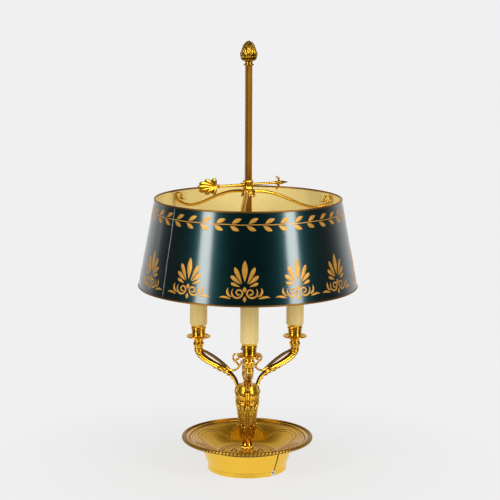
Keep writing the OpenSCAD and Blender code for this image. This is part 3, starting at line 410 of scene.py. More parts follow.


# The three tones of each are the light one, the deep one and that of its hollows, which is partly patina and
# partly painted shade
GILT = brass_look("gilt_brass", (0.88, 0.49, 0.045), (0.68, 0.345, 0.02), (0.14, 0.054, 0.004), 0.18)
CARVED = brass_look(
    "carved_brass", (0.92, 0.52, 0.055), (0.74, 0.37, 0.026), (0.13, 0.048, 0.003), 0.27, tarnish=0.35)
SPUN = brass_look(
    "spun_brass", (0.74, 0.395, 0.026), (0.55, 0.272, 0.014), (0.10, 0.036, 0.003), 0.14, wavy=0.10)
AGED = brass_look(
    "aged_brass", (0.50, 0.28, 0.035), (0.34, 0.17, 0.018), (0.08, 0.032, 0.004), 0.36, tarnish=0.5)
# A dark copy of the brass: painted shade for the arms' shaded faces
PAINTED_SHADE_BRASS = brass_look(
    "dark_brass", (0.11, 0.05, 0.01), (0.06, 0.025, 0.005), (0.03, 0.012, 0.002), 0.38, tarnish=0.5)
BAND = brass_look(
    "band_brass", (1.0, 0.63, 0.07), (1.0, 0.60, 0.06), (0.3, 0.12, 0.02), 0.22, tarnish=0.05, wavy=0.02)
ROD = brass_look(
    "bar_brass", (0.56, 0.26, 0.028), (0.44, 0.19, 0.016), (0.11, 0.036, 0.001), 0.27, haze=0.02,
    tarnish=0.15, wavy=0.0)
WARM = brass_look(
    "warm_brass", (0.68, 0.38, 0.035), (0.48, 0.25, 0.016), (0.09, 0.032, 0.003), 0.21, tarnish=0.3)
RIMS = brass_look(
    "rim_brass", (0.36, 0.165, 0.025), (0.24, 0.10, 0.016), (0.08, 0.03, 0.006), 0.36, tarnish=0.5)


def plain_look(name, a, b, rough, scale, spread=0.08, bump=(0.2, 0.0004), grain=700, **sockets):
    """A material whose colour and gloss drift, over a fine grain."""
    k = Look(name, **sockets)
    col = k.drift(k.noise(scale, 4, 0.6), 0.3, 0.7, a, b)
    g = k.noise(grain, 3, 0.6)
    r = k.map(g, 0.3, 0.7, rough - spread, rough + spread)
    return k.put(Base_Color=col, Roughness=r, Normal=k.bump(g, *bump))


IRON = plain_look(
    "iron", (0.035, 0.034, 0.036), (0.08, 0.07, 0.065), 0.75, 60, bump=(0.6, 0.001), grain=260, Metallic=0.6)
BOARD = plain_look("board", (0.42, 0.29, 0.17), (0.30, 0.19, 0.10), 0.85, 90, bump=(0.4, 0.0006), grain=900)
BAIZE = plain_look(
    "baize", (0.012, 0.06, 0.025), (0.02, 0.085, 0.036), 0.95, 300, bump=(1.0, 0.001), grain=2600,
    Sheen_Weight=0.4)
PLASTIC = plain_look("pale_plastic", (0.80, 0.77, 0.70), (0.72, 0.69, 0.61), 0.4, 90, bump=(0.08, 0.0003))
STEEL = plain_look("steel", (0.55, 0.55, 0.55), (0.42, 0.42, 0.43), 0.3, 120, Metallic=1.0)
PORCELAIN = plain_look(
    "porcelain", (0.84, 0.83, 0.79), (0.78, 0.76, 0.71), 0.16, 60, 0.05, bump=(0.05, 0.0004), Coat_Weight=0.6)
CAP = plain_look("cap_metal", (0.66, 0.64, 0.60), (0.5, 0.48, 0.44), 0.3, 140, Metallic=1.0)
GLASS = plain_look(
    "frosted_glass", (0.90, 0.90, 0.87), (0.86, 0.86, 0.83), 0.35, 30, bump=(0.08, 0.0002), grain=1800,
    Subsurface_Weight=0.2, Subsurface_Radius=(0.01, 0.01, 0.01), Coat_Weight=0.2)
# Wear and a painted highlight for the cut edge of the shade's lap
WORN_AND_HIGHLIT_EDGE = plain_look("worn_and_highlit_edge", (0.10, 0.13, 0.13), (0.03, 0.05, 0.05), 0.4, 300, Metallic=0.3)
# Dirt and painted shadow for the foot strip's open joint
SEAM_DIRT_AND_SHADOW = plain_look("seam_dirt_and_shadow", (0.10, 0.05, 0.02), (0.05, 0.02, 0.01), 0.6, 200, Metallic=0.8)


def card_look():
    """Waxed card: warm ivory, cloudy, with faint upright streaks."""
    k = Look("candle_card", Subsurface_Weight=0.08, Subsurface_Radius=(0.006, 0.005, 0.003), Coat_Weight=0.12,
             Coat_Roughness=0.35)
    cloud = k.noise(34, 4, 0.6)
    streak = k.noise(160, 3, 0.6, stretch=(1, 1, 0.06))
    col = k.drift(cloud, 0.3, 0.7, (0.85, 0.67, 0.28), (0.77, 0.58, 0.21))
    col = k.drift(streak, 0.45, 0.7, col, (0.62, 0.45, 0.18), 0.3)
    r = k.map(cloud, 0.3, 0.7, 0.42, 0.55)
    return k.put(Base_Color=col, Roughness=r, Normal=k.bump(k.noise(520, 3), 0.12, 0.0004))


def tole_look():
    """Dark green lacquer with a soft gloss, brushed round the shade, with dust nibs."""
    k = Look("green_lacquer", IOR=1.5, Specular_IOR_Level=0.42, Specular_Tint=(0.04, 0.78, 0.92),
             Coat_Weight=1.0, Coat_Roughness=0.155, Coat_IOR=1.64)
    cloud = k.noise(14, 3, 0.55)
    nib = k.noise(1500, 2, 0.6)
    brush = k.noise(90, 3, 0.6, stretch=(0.2, 0.2, 1))
    col = k.drift(cloud, 0.3, 0.7, (0.00002, 0.0026, 0.0026), (0.0001, 0.005, 0.005))
    col = k.drift(nib, 0.68, 0.76, col, (0.03, 0.07, 0.07), 0.3)
    r = k.math("ADD", k.map(brush, 0.3, 0.7, 0.31, 0.35), k.map(cloud, 0.3, 0.7, -0.02, 0.02))
    n = k.bump(nib, 0.06, 0.0002, k.bump(brush, 0.012, 0.0004))
    return k.put(Base_Color=col, Roughness=r, Normal=n)


def cream_look():
    """The cream lacquer inside the shade, with a few brown specks."""
    k = Look("cream_lacquer", Coat_Weight=0.3, Coat_Roughness=0.3)
    cloud = k.noise(10, 4, 0.6)
    col = k.drift(cloud, 0.3, 0.7, (0.95, 0.80, 0.34), (0.90, 0.73, 0.27))
    col = k.drift(k.noise(220, 2, 0.5), 0.68, 0.76, col, (0.40, 0.28, 0.12), 0.4)
    r = k.map(cloud, 0.3, 0.7, 0.42, 0.55)
    return k.put(Base_Color=col, Roughness=r, Normal=k.bump(k.noise(500, 3), 0.06, 0.0004))


def gold_paint_look():
    """Bronze powder paint: brush marks, thin places where the lacquer shades it."""
    k = Look("gold_paint", Metallic=0.45)
    cloud = k.noise(120, 4, 0.65)
    col = k.drift(cloud, 0.32, 0.68, (0.74, 0.39, 0.055), (0.54, 0.25, 0.03))
    col = k.drift(k.cavity(), 0.0, 0.6, (0.50, 0.21, 0.035), col)
    r = k.map(k.noise(1400, 2, 0.6), 0.3, 0.7, 0.36, 0.5)
    return k.put(Base_Color=col, Roughness=r, Normal=k.bump(cloud, 0.3, 0.0003))


CARD, TOLE, CREAM, PAINT = card_look(), tole_look(), cream_look(), gold_paint_look()

# ---- Base -------------------------------------------------------------------


def foot_band():
    """The rolled strip: its free end laps over the start, and the cord's notch is arched at the seam."""
    lap, lap_angle, notch = 0.8, 16.0, NOTCH_R + 0.05
    outer = join(bez((FOOT_R, 0), (FOOT_R - 0.1, 1.6), (FOOT_R - 0.4, 3.6), (FOOT_R - 0.6, 6.2), 12),
                 bez((FOOT_R - 0.7, 6.6), (FOOT_R - 0.6, 6.9), (FOOT_R - 0.1, 7.1), (FOOT_R + 0.3, 8.0), 8),
                 bez((FOOT_R + 0.3, 8), (FOOT_R + 1.3, 13), (FOOT_TOP_R - 2.2, FOOT_H - 7),
                     (FOOT_TOP_R, FOOT_H), 20))
    k = len(outer)
    outside = np.arange(2 * k) < k
    edge = math.degrees(notch / FOOT_R)
    near = np.r_[np.linspace(0.12, edge, 30), edge + 0.02]
    a = np.r_[0.0, near, np.linspace(edge + 0.4, 360 - edge - 0.4, 320), 360 - near[::-1], 360.0]
    from_seam = np.minimum(a, 360 - a)
    off = FOOT_R * rad(from_seam)
    low = np.where(off <= notch, NOTCH_Z + np.sqrt(np.clip(notch**2 - off**2, 0, None)), 0)
    share = np.r_[outer[:, 1], outer[::-1, 1]] / FOOT_H
    Z = low[:, None] + share[None, :] * (FOOT_H - low[:, None])
    R = np.interp(Z, outer[:, 1], outer[:, 0]) - FOOT_WALL * ~outside
    R = R + lap * smooth(a, 360 - lap_angle, 360 - lap_angle / 3)[:, None]
    # The open joint: a recessed channel just beyond the free end, painted dark as dirt and painted shadow in
    # the gap
    R = R - 0.7 * (1 - smooth(a, 2.3, 2.9))[:, None] * outside
    # The channel's outer faces take the dark seam material: dirt and painted shadow
    mat = np.zeros((len(a) - 1, 2 * k), int)
    mat[a[:-1] < 2.7, :k - 1] = 1
    bow = np.sin(np.pi * np.clip(Z / FOOT_H, 0, 1)) * (Z > 2 * NOTCH_Z)
    A = FOOT_SEAM + a[:, None] - 360 + bow * np.exp(-((from_seam / 9) ** 2))[:, None]
    P = np.stack([R * np.cos(rad(A)), R * np.sin(rad(A)), Z], -1)
    b = Build().grid(P, mat=mat)
    # The strip's cut ends take the same dark material: painted shade
    for end in (P[0], P[-1]):
        b.grid(np.stack([end[:k], end[k:][::-1]], 1), round_v=False, cav=0.1, mat=1)
    b.make("foot_strip", "foot_band", [BAND, SEAM_DIRT_AND_SHADOW], sharp=50)


def base_dish():
    """Spun dish: turned rings, a chased double line in bays, and a ring of leaves round the stem."""
    wall = bez((DISH_FLOOR_R, DISH_Z), (DISH_FLOOR_R + 0.21 * DISH_RUN, DISH_Z),
               (DISH_FLOOR_R + 0.46 * DISH_RUN, DISH_Z + 0.61 * DISH_RISE), (DISH_LEDGE_R, DISH_LEDGE_Z), 60)
    top = join([TUBE_HOLE_R, DISH_Z], wall, [DISH_LEDGE_R + 1, DISH_LEDGE_Z + 1],
               [BORDER_R, DISH_LEDGE_Z + 1])
    low = join([BORDER_R, DISH_LEDGE_Z - 1], [DISH_LEDGE_R + 1.6, DISH_LEDGE_Z - 1],
               (wall + [0.4 * DISH_WALL, -DISH_WALL])[::-1], [TUBE_HOLE_R, DISH_Z - DISH_WALL])
    leaf_from, leaf_to, bays = 22.5, 38, 6
    leaf_rings = ((20, 0, leaf_from, leaf_to, 4.0, 1.1), (20, 9, 25.6, leaf_to, 4.0, 0.825))

    def relief(a, r, z):
        d = 0
        for ring_r, half, high in ((92.4, 1.0, -0.3), (88.6, 1.3, 0.45), (85.6, 1.1, -0.3), (82.6, 1.1, -0.2),
                                   (41.4, 0.8, -0.3), (39.4, 0.9, 0.3), (21.2, 0.7, 0.25)):
            d = d + high * ridge(r - ring_r, half)
        bay = 79 - 25 * (1 - 2 * np.abs(wave(a, bays, 60))) ** 3
        d = d - 0.24 * ridge(r - bay, 1.2) - 0.2 * ridge(r - bay + 4.4, 1.1)
        d = d + leaves(a, r, r, leaf_rings, blunt=0.7) - 0.5 * (r > leaf_from) * (r < leaf_to)
        return np.where(z > np.interp(r, top[:, 0], top[:, 1]) - 1, d, 0)

    Build().turned(np.vstack([top, low]), 480, relief, 0.55).make("dish", "base_dish", [SPUN])


def dish_border():
    """The gadrooned moulding: slanted lobes, with a bead inside them."""
    mid, half, lobes = BORDER_R, 2.7, 108
    loop = join([mid - 1, 1.1], [mid + 0.1, 1.1], [mid + 0.1, -1.1], [mid - 1, -1.1],
                [mid - 1, 1.2 - half], arc((mid + 0.1, 1.3 - half), 1.3, 200, 270, 5),
                arc((DISH_R - 2.7, 0), half, -90, 90, 20),
                [mid, half], arc((mid + 0.1, half - 1.3), 1.3, 90, 170, 5))

    def relief(a, r, v):
        t = np.degrees(np.arctan2(v, r - mid))
        outer = smooth(r, mid + 0.4, mid + 1.2) * (np.abs(t) < 100)
        return -0.42 * outer * (np.abs(wave(a - t * 0.008, lobes)) * 2) ** 3

    Build().turned(loop, lobes * 8, relief, 0.5, DISH_LEDGE_Z).make(
        "gadroon_border", "dish_border", [AGED], slot="aged_brass")


def cord_bushing():
    """A plastic tube whose axis points outward, with a round lip on the outside."""
    loop = join(arc((2.95, 0.3), 1.25, 180, 360, 12), [3.45, 0.6], [3.45, 6], [1.7, 6])
    P, _ = lathe(loop, 40, None, 0.4)
    P = np.stack([FOOT_R - P[..., 2], P[..., 0], P[..., 1] + NOTCH_Z + 0.4], -1)
    Build().ring(turn(P, FOOT_SEAM)).make("bushing", "cord_bushing", [PLASTIC], slot="pale_plastic", sharp=38)


# ---- Stem -------------------------------------------------------------------


def leaf_collar():
    loop = join([TUBE_HOLE_R, 0], [18.0, 0], [18.6, 0.6], [18.6, 1.8], [18.0, 2.4],
                bez((17.4, 2.9), (14.6, 4.2), (9.4, 5.6), (9.2, 9.6), 24),
                [9.9, 10.0], [9.9, 10.7], [9.2, 10.9], [TUBE_HOLE_R, 10.9])

    def relief(a, r, v):
        d = leaves(a, r, r, ((10, 4, 9.2, 18.2, 4.6, 0.9), (10, 22, 9.2, 16.4, 4.6, 0.63)))
        bead = 0.5 * ridge(wave(a, 20), 0.42) * ridge(r - 18.4, 1.2) * (v > 0.31) * (v < 2.6)
        return np.where((v > 2.2) & (v < 9.4), d, 0) + bead

    Build().turned(loop, 240, relief, 0.5, STEM_FOOT_Z).make("leaf_collar", "stem_foot", [CARVED])


def plain_neck():
    h = QUIVER_Z - NECK_Z - 0.1
    waist = bez((8.5, 0.1), (7.8, 1.8), (7.35, 5), (7.0, h), 20)
    loop = join([TUBE_HOLE_R, 0], [8.5, 0], waist, [TUBE_HOLE_R, h])
    Build().turned(loop, 96, None, 0.8, NECK_Z).make("plain_neck", "stem_neck", [GILT], sharp=38)


def quiver():
    """A cup of pointed leaves at the foot, tall leaves above it, small leaves between their tips."""
    h = CROWN_Z - QUIVER_Z - 0.1
    loop = join([TUBE_HOLE_R, 0], bez((8.0, 0), (11.4, 11.9), (12.6, 33.5), (16.2, h), 60), [TUBE_HOLE_R, h])
    cup, cup_from, cup_to, cup_w = 8, -3, 24, 4.9

    def relief(a, r, v):
        tall = leaves(a, r, v, ((6, ARM_AZ, 16, 58, 6.6, 1.4), (6, ARM_AZ + 30, 22, 56, 4.8, 1.0)), 5, 0.8)
        low = leaves(a, r, v, ((cup, ARM_AZ + 22.5, cup_from, 21, 4.4, 1.25),
                               (cup, ARM_AZ, cup_from, cup_to, cup_w, 1.5)), 3, 0.8)
        # A beaded rim round each of the cup's front leaves
        t = np.clip((v - cup_from) / (cup_to - cup_from), 0, 1)
        edge = np.abs(across(a, r, cup, ARM_AZ)) - cup_w * np.sin(np.pi * t**0.75) ** 0.8
        beads = np.exp(-((edge / 0.45) ** 2)) * (0.5 + 0.5 * np.cos(v * 2 * np.pi / 1.9)) * (v > 4) * (v < 25)
        skin = (r > TUBE_HOLE_R + 1) & (v > 0.2) & (v < h - 0.2)
        return np.where(skin, np.maximum(tall, low) + 0.5 * beads, 0)

    b = Build().turned(loop, 240, relief, 0.55, QUIVER_Z)
    tip = bez((10.6, 17), (11.2, 20), (12.4, 22.6), (14.0, 22.4), 10)
    # The turned-out tips get a crest value, so they are painted lighter: painted highlight
    for i in range(cup):
        b.swept(ARM_AZ + i * 360 / cup, tip, [0.5, 0.6, 0.25], [1.8, 1.3, 0.2], 10, QUIVER_Z, cav=0.9)
    b.make("quiver", "stem_quiver", [CARVED])


def crown():
    """A leafy cup and dome, with leaf tips turned out in two rings, and sockets for the three arms."""
    loop = join([8.4, 0], [17.0, 0], arc((16.6, 1.4), 1.4, -70, 70, 8), arc((16.4, 4.4), 1.3, -70, 90, 8),
                bez((16.2, 6.4), (17.0, 9), (17.4, 13), (17.6, 17.2), 16),
                bez((16.8, 18.0), (14.9, 20), (15.0, 25), (13.0, 28.6), 20),
                [10.5, 29.95], [4.1, 29.95], [4.1, 22.9], [8.4, 9.0])

    def relief(a, r, v):
        d = leaves(a, np.maximum(r, 11), v, (
            (12, ARM_AZ + 15, 5.5, 17.5, 3.9, 0.9), (12, ARM_AZ, 5.5, 14.5, 3.3, 0.6),
            (6, ARM_AZ + 30, 17.0, 30, 6.4, 0.8), (6, ARM_AZ, 17.0, 29.5, 5.4, 0.6)))
        ring = 0.35 * ridge(wave(a, 24), 0.4) * ridge(v - 4.4, 1.6) * (r > 15)
        return np.where((r > 9) & (v > 6.2) & (v < 29.8), d, 0) + np.where((v > 2.9) & (v < 6.1), ring, 0)

    b = Build().turned(loop, 288, relief, 0.5, CROWN_Z)
    low = bez((16.0, 4.6), (16.8, 6.8), (17.4, 9.6), (19.0, 9.0), 8)
    for i in range(12):
        small = 1 - i % 2
        tall = bez((16.6, 12.0), (18.2, 15), (18.4, 18.8), (20.6, 18.8 - 0.4 * small), 10) - [0.6 * small, 0]
        b.swept(ARM_AZ + 15 + i * 30, tall, [0.6, 0.8, 0.8, 0.3], [2.5, 2.2, 1.6, 0.5], z=CROWN_Z)
        b.swept(ARM_AZ + i * 30, low, [0.5, 0.7, 0.7, 0.3], [2.2, 1.9, 1.4, 0.5], z=CROWN_Z)
    socket, _ = lathe([[3.1, 17.0], [3.9, 17.4], [4.2, 19.0], [3.8, 20.2], [3.1, 20.4]], 32, None, 0.5)
    for i in range(3):
        b.ring(turn(shift(socket, x=ARM_ROOT_R, z=CROWN_Z), ARM_AZ + i * 120))
    b.make("crown", "stem_crown", [CARVED])


def baluster():
    loop = join([4.0, -7], [4.0, 0.1], [5.0, 0.1], [5.6, 0.8], [5.4, 1.6],
                bez((4.8, 2.2), (5.0, 6), (7.6, 9), (7.8, 18), 20), [7.2, 19], [7.2, 19.6],
                bez((7.8, 20.4), (7.8, 26), (7.0, 29), (7.2, 34), 14), arc((7.0, 36), 1.0, -80, 80, 8),
                [7.0, 38], [3.6, 38], [3.6, 11], [0.05, 11], [0.05, -7])

    def relief(a, r, v):
        d = leaves(a, r, v, [(6, ARM_AZ + 30, 1.8, 18.4, 3.6, 0.6)], 3, 0.7)
        d = np.maximum(d, 0.5 * ridge(wave(a, 12), 0.42) * smooth(v, 20.4, 22) * (1 - smooth(v, 32, 34)))
        return np.where((r > 4.5) & (v > 1.8) & (v < 34), d, 0)

    Build().turned(loop, 144, relief, 0.6, CROWN_TOP_Z).make("baluster", "rod_baluster", [CARVED], sharp=55)


# ---- Arms and candles -------------------------------------------------------

HORN_THICK = NECK_R * np.array([0.49, 0.51, 0.58, 0.66, 0.74, 0.8, 0.88, 0.97])
HORN_WIDE = NECK_R * np.array([0.46, 0.42, 0.52, 0.70, 0.86, 0.95, 1, 0.97])
BAR_THICK = VOLUTE_R * np.array([0.26, 0.38, 0.40, 0.34, 0.27, 0.20])
BAR_WIDE = VOLUTE_R * np.array([0.30, 0.36, 0.34, 0.30, 0.26, 0.20])
VOLUTE_THICK = VOLUTE_R * np.array([0.25, 0.23, 0.18])
VOLUTE_WIDE = VOLUTE_R * np.array([0.28, 0.25, 0.20])


def arm_at(u, v):
    """A point in the arm's plane: u is the share of its reach, v the share of its rise."""
    return np.array([ARM_ROOT_R + u * (ARM_R - ARM_ROOT_R), ARM_ROOT_Z + v * (ARM_RISE - ARM_ROOT_Z)])


def arm_lines():
    """Centre lines of an arm: its horn, the slim bar above it and the open scroll."""
    cross, dip = arm_at(0.213, 0.424), arm_at(0.213, 0.524)
    horn = join(bez(arm_at(0, 0), arm_at(0.003, 0.2), arm_at(0.078, 0.335), cross, 30),
                bez(cross, arm_at(0.377, 0.555), arm_at(0.946, 0.673), arm_at(1, 0.945), 60))
    end = (BALUSTER_R * 1.3, arm_at(0, 0.76)[1])
    bar = join(bez(arm_at(0.948, 0.964), arm_at(0.737, 0.927), arm_at(0.347, 0.655), dip, 40),
               bez(dip, arm_at(0.123, 0.445), arm_at(-0.033, 0.527), end, 30))
    eye = np.array([BALUSTER_R * 2.36, arm_at(0, 0.873)[1]])
    start = eye + VOLUTE_R * np.array([math.cos(rad(-60)), math.sin(rad(-60))])
    volute = join(bez((BALUSTER_R * 1.8, arm_at(0, 0.6)[1]), (BALUSTER_R * 1.82, arm_at(0, 0.693)[1]),
                      start - VOLUTE_R * np.array([0.45, 0.27]), start, 16),
                  arc(eye, VOLUTE_R, -60, 270, 60, VOLUTE_R * 0.45))
    return even(horn, 110), even(bar, 90), even(volute, 70)


def horn_flutes(t, a):
    """Grooves along the horn, its hollow inner side, the carved sheath under the bar, and its rings."""
    groove = 0.07 * np.cos(rad(a * 7)) * smooth(t, 0.02, 0.1) * (1 - smooth(t, 0.9, 0.97))
    sheath = 0.10 * smooth(t, 0.30, 0.34) * (1 - smooth(t, 0.50, 0.60))
    carve = 0.05 * np.cos(rad(a * 5 + t * 2200)) * smooth(t, 0.28, 0.33) * (1 - smooth(t, 0.5, 0.58))
    hollow = -0.20 * np.exp(-((wave(a, 1) * 360 / 34) ** 2))
    hollow = hollow * smooth(t, 0.02, 0.06) * (1 - smooth(t, 0.42, 0.5))
    rings = 0.14 * (ridge(t - 0.012, 0.012) + ridge(t - 0.975, 0.02) + 0.7 * ridge(t - 0.93, 0.012))
    return 1 + groove + sheath + carve + hollow + rings


def bar_flutes(t, a):
    """A groove along the inner and the outer side of the bar."""
    return 1 - 0.22 * np.exp(-((wave(a, 2) * 180 / 30) ** 2)) + 0 * t


def horn_leaves(horn):
    """Leaf tips along the sheath: under it, on its sides, and two over the crossing."""
    way, side = headings(horn)
    for t, lean, size in ((0.20, 180, 0.8), (0.30, 150, 1.0), (0.30, 210, 1.0), (0.38, 180, 1.15),
                          (0.45, 140, 1.1), (0.45, 220, 1.1), (0.51, 180, 1.15), (0.57, 150, 0.9),
                          (0.57, 210, 0.9), (0.40, 80, 0.9), (0.40, 280, 0.9), (0.50, 90, 0.8),
                          (0.50, 270, 0.8)):
        k = int(t * (len(horn) - 1))
        forward = np.array([way[k][0], 0, way[k][1]])
        lift = math.cos(rad(lean)) * np.array([side[k][0], 0, side[k][1]])
        slew = math.sin(rad(lean)) * np.array([0, 1, 0])
        root = [horn[k][0], 0, horn[k][1]] + lift * along(HORN_THICK, t) + slew * along(HORN_WIDE, t)
        # A leaf in its own plane: x along the arm, z outward
        line = size * bez((-3.2, -0.9), (-0.5, 0.5), (2.0, 0.8), (3.4, 2.6), 10)
        P, _ = tube(line, [0.4, 0.6, 0.6, 0.3], [1.1 * size, 2.0 * size, 1.7 * size, 0.35], 10)
        out = lift + slew
        yield root + P[..., :1] * forward + P[..., 1:2] * np.cross(out, forward) + P[..., 2:] * out


def candle_arms():
    horn, bar, volute = arm_lines()
    # The inner side of the horn's root and the slim bar above it are painted in a dark brass: painted shade,
    # where the rest of the arm is gilt
    inner = np.zeros((109, 42), int)
    inner[2:34, :8] = inner[2:34, 34:] = 1
    painted_dark_bar = np.zeros((89, 20), int)
    painted_dark_bar[:54] = 1
    bars = [(*tube(horn, HORN_THICK, HORN_WIDE, 42, horn_flutes), inner),
            (*tube(bar, BAR_THICK, BAR_WIDE, 20, bar_flutes), painted_dark_bar),
            (*tube(volute, VOLUTE_THICK, VOLUTE_WIDE, 14), 0)]
    volute_eye = blob((volute[-1][0], 0, volute[-1][1]), 1.9)
    bud = blob((bar[-1][0] + 0.2, 0, bar[-1][1] + 0.4), (1.5, 1.6, 2.2))
    bars += [(P, PLAIN, 0) for P in (volute_eye, bud, *horn_leaves(horn))]
    neck = join([NIPPLE_HOLE_R, 0], [NECK_R - 0.2, 0], arc((NECK_R - 0.1, 1.5), 0.9, -70, 70, 6),
                [NECK_R - 0.1, 2.8], arc((NECK_R - 0.2, 4.1), 1.1, -70, 80, 6), [NIPPLE_HOLE_R, 5.5])
    tenon = [[0.05, 0], [3.0, 0], [3.0, 10.6], [0.05, 10.6]]
    for i in range(3):
        az = ARM_AZ + i * 120
        b = Build()
        for P, cav, mat in bars:
            b.bar(turn(shift(P, z=CROWN_Z), az), cav=cav, mat=mat)
        for loop, x, z in ((neck, ARM_R, ARM_RISE - 5.5), (tenon, ARM_ROOT_R, 10.1)):
            b.ring(turn(shift(lathe(loop, 40, None, 0.8)[0], x=x, z=CROWN_Z + z), az))
        b.make(f"scroll_arm_{i + 1}", f"candle_arm_{i + 1}", [GILT, PAINTED_SHADE_BRASS], sharp=50)


def at_candles(name, node, z, outline, count, step, relief=None, look=GILT, slot="gilt_brass", sharp=50):
    """The same turned piece on each arm; relief(i) gives the relief of the one on arm i."""
    for i in range(3):
        P, cav = lathe(outline, count, relief and relief(i), step, z)
        b = Build().ring(turn(shift(P, x=ARM_R), ARM_AZ + i * 120), cav=cav)
        b.make(f"{name}_{i + 1}", f"{node}_{i + 1}", [look], slot=slot, sharp=sharp)


def knops():
    knop = join([NIPPLE_HOLE_R, 0], [6.1, 0], bez((6.1, 0.2), (6.0, 3), (7.7, 5.1), (7.7, 8.1), 14),
                bez((7.5, 9.3), (6.9, 10.5), (6.1, 11.1), (6.3, 12.3), 8),
                arc((7.2, 13.9), 1.1, -110, 90, 10), [NIPPLE_HOLE_R, 15])

    def carve(a, r, v):
        d = leaves(a, r, v, [(8, 0, -1.5, 9, 2.7, 0.55)], blunt=0.5)
        return np.where((r > NIPPLE_HOLE_R + 0.5) & (v > 0.2) & (v < 9), d, 0)

    at_candles("knop", "arm_knop", KNOP_Z, knop, 120, 0.5, lambda i: carve, sharp=55)


def pans_and_cups():
    pan = join([NIPPLE_HOLE_R, 0], [9.9, 0], bez((10.2, 0), (13, 0.3), (15.4, 1.2), (16.4, 2.0), 10),
               arc((17.1, 3.0), 1.1, -75, 150, 14),
               bez((15.8, 3.0), (14.4, 2.1), (12.4, 1.35), (10.9, 1.2), 10),
               [NIPPLE_HOLE_R, 1.2])
    at_candles("pan", "drip_pan", PAN_Z, pan, 120, 0.7)
    cup = join([NIPPLE_HOLE_R, -1.5], [9.9, -1.5], [9.9, -0.2], arc((9.9, 1.2), 1.2, -70, 70, 8), [10.0, 2.8],
               bez((10.0, 2.8), (10.1, 6), (10.3, 9), (10.5, 11.8), 8),
               arc((10.9, 13.1), 0.75, -70, 80, 6), [10.9, 14.4],
               bez((10.9, 14.4), (11.0, 16.6), (11.5, 17.8), (12.2, 19), 8), [11.0, 19],
               [8.9, 11.4], [8.9, 1.6], [NIPPLE_HOLE_R, 1.6])
    at_candles("cup", "candle_cup", CUP_Z, cup, 96, 0.8, sharp=40)


def sleeves():
    top = SLEEVE_H
    sleeve = [[11.8, 0], [12.9, 0], [13.1, 0.25], [13.1, top - 0.3], [12.8, top], [12.0, top],
              [11.8, top - 0.3]]

    def uneven(i):
        def relief(a, r, v):
            d = 0.10 * np.sin(rad(a * 2 + 60 * i)) * np.sin(v / 17 + i) + 0.05 * np.sin(rad(a * 3) + v / 9)
            if i == 0:  # the nick low on the front sleeve, where a screw once pressed
                d = d - 0.35 * np.exp(-(((a - 350) / 9) ** 2)) * np.exp(-(((v - 44) / 1.4) ** 2))
            return np.where(r > 12.5, d, 0)
        return relief

    at_candles("sleeve", "candle_sleeve", SLEEVE_Z, sleeve, 96, 1.6, uneven, CARD, "candle_card", 35)


def bulbs():
    neck, ball = CAP_R - 0.3, BULB_H - BULB_R
    start = math.asin((neck + 3) / BULB_R)
    low = ball - BULB_R * math.cos(start)
    bulb = join([0.02, 0], [neck, 0], [neck, 6.8],
                bez((neck, 6.8), (neck, 9), (neck + 1.2, low - 1.2), (neck + 3, low), 8),
                arc((0, ball), BULB_R, math.degrees(start) - 90, 89.9, 40), [0.02, BULB_H])
    at_candles("bulb", "bulb_glass", GLASS_Z, bulb, 72, 1.5, None, GLASS, "frosted_glass", 60)


def grub_screw():
    """A slotted cheese head on the front cup."""
    P, _ = lathe([[0.02, 0], [1.8, 0], [1.8, 1.2], [1.5, 1.6], [0.02, 1.6]], 32, None, 0.4)
    P[..., 2] -= 0.45 * ((np.abs(P[..., 0]) < 0.3) & (P[..., 2] > 1.3))
    P = np.stack([P[..., 0] + ARM_R, -P[..., 2] - 10.6, P[..., 1] + CUP_Z + 9.5], -1)
    Build().ring(turn(P, ARM_AZ)).make("grub_screw", "cup_screw", [AGED], slot="aged_brass", sharp=38)


# ---- Upright and finial -----------------------------------------------------


def square_loft(rows, per_corner=6):
    """A stack of squares with rounded corners: rows of (half side, corner radius, height)."""
    out = []
    for half, corner, z in rows:
        for q, (x, y) in enumerate(((1, 1), (-1, 1), (-1, -1), (1, -1))):
            a = rad(np.linspace(0, 90, per_corner) + 90 * q)
            out.append(np.stack([(half - corner) * x + corner * np.cos(a),
                                 (half - corner) * y + corner * np.sin(a), z + 0 * a], -1))
    return np.array(out).reshape(len(rows), -1, 3)


def upright():
    h = ROD_SIDE / 2
    rows = [(h - 0.3, 0.3, ROD_FOOT_Z), (h, 0.45, ROD_FOOT_Z + 0.3)]
    rows += [(h + 0.02 * math.sin(z * 0.9), 0.45, z) for z in np.linspace(ROD_FOOT_Z + 2, ROD_TOP_Z - 2, 60)]
    rows += [(h, 0.45, ROD_TOP_Z - 0.4), (h - 0.4, 0.3, ROD_TOP_Z)]
    P = square_loft(rows)
    # Painted shade and highlight: one face is painted dark and the other three are painted brighter than
    # plain ground
    painted_dark_face = P[..., 1] > 0.88 * h
    b = Build().bar(turn(P, ROD_AZ), cav=np.where(painted_dark_face, 0.26, 0.98))
    b.make("square_upright", "upright_rod", [ROD])


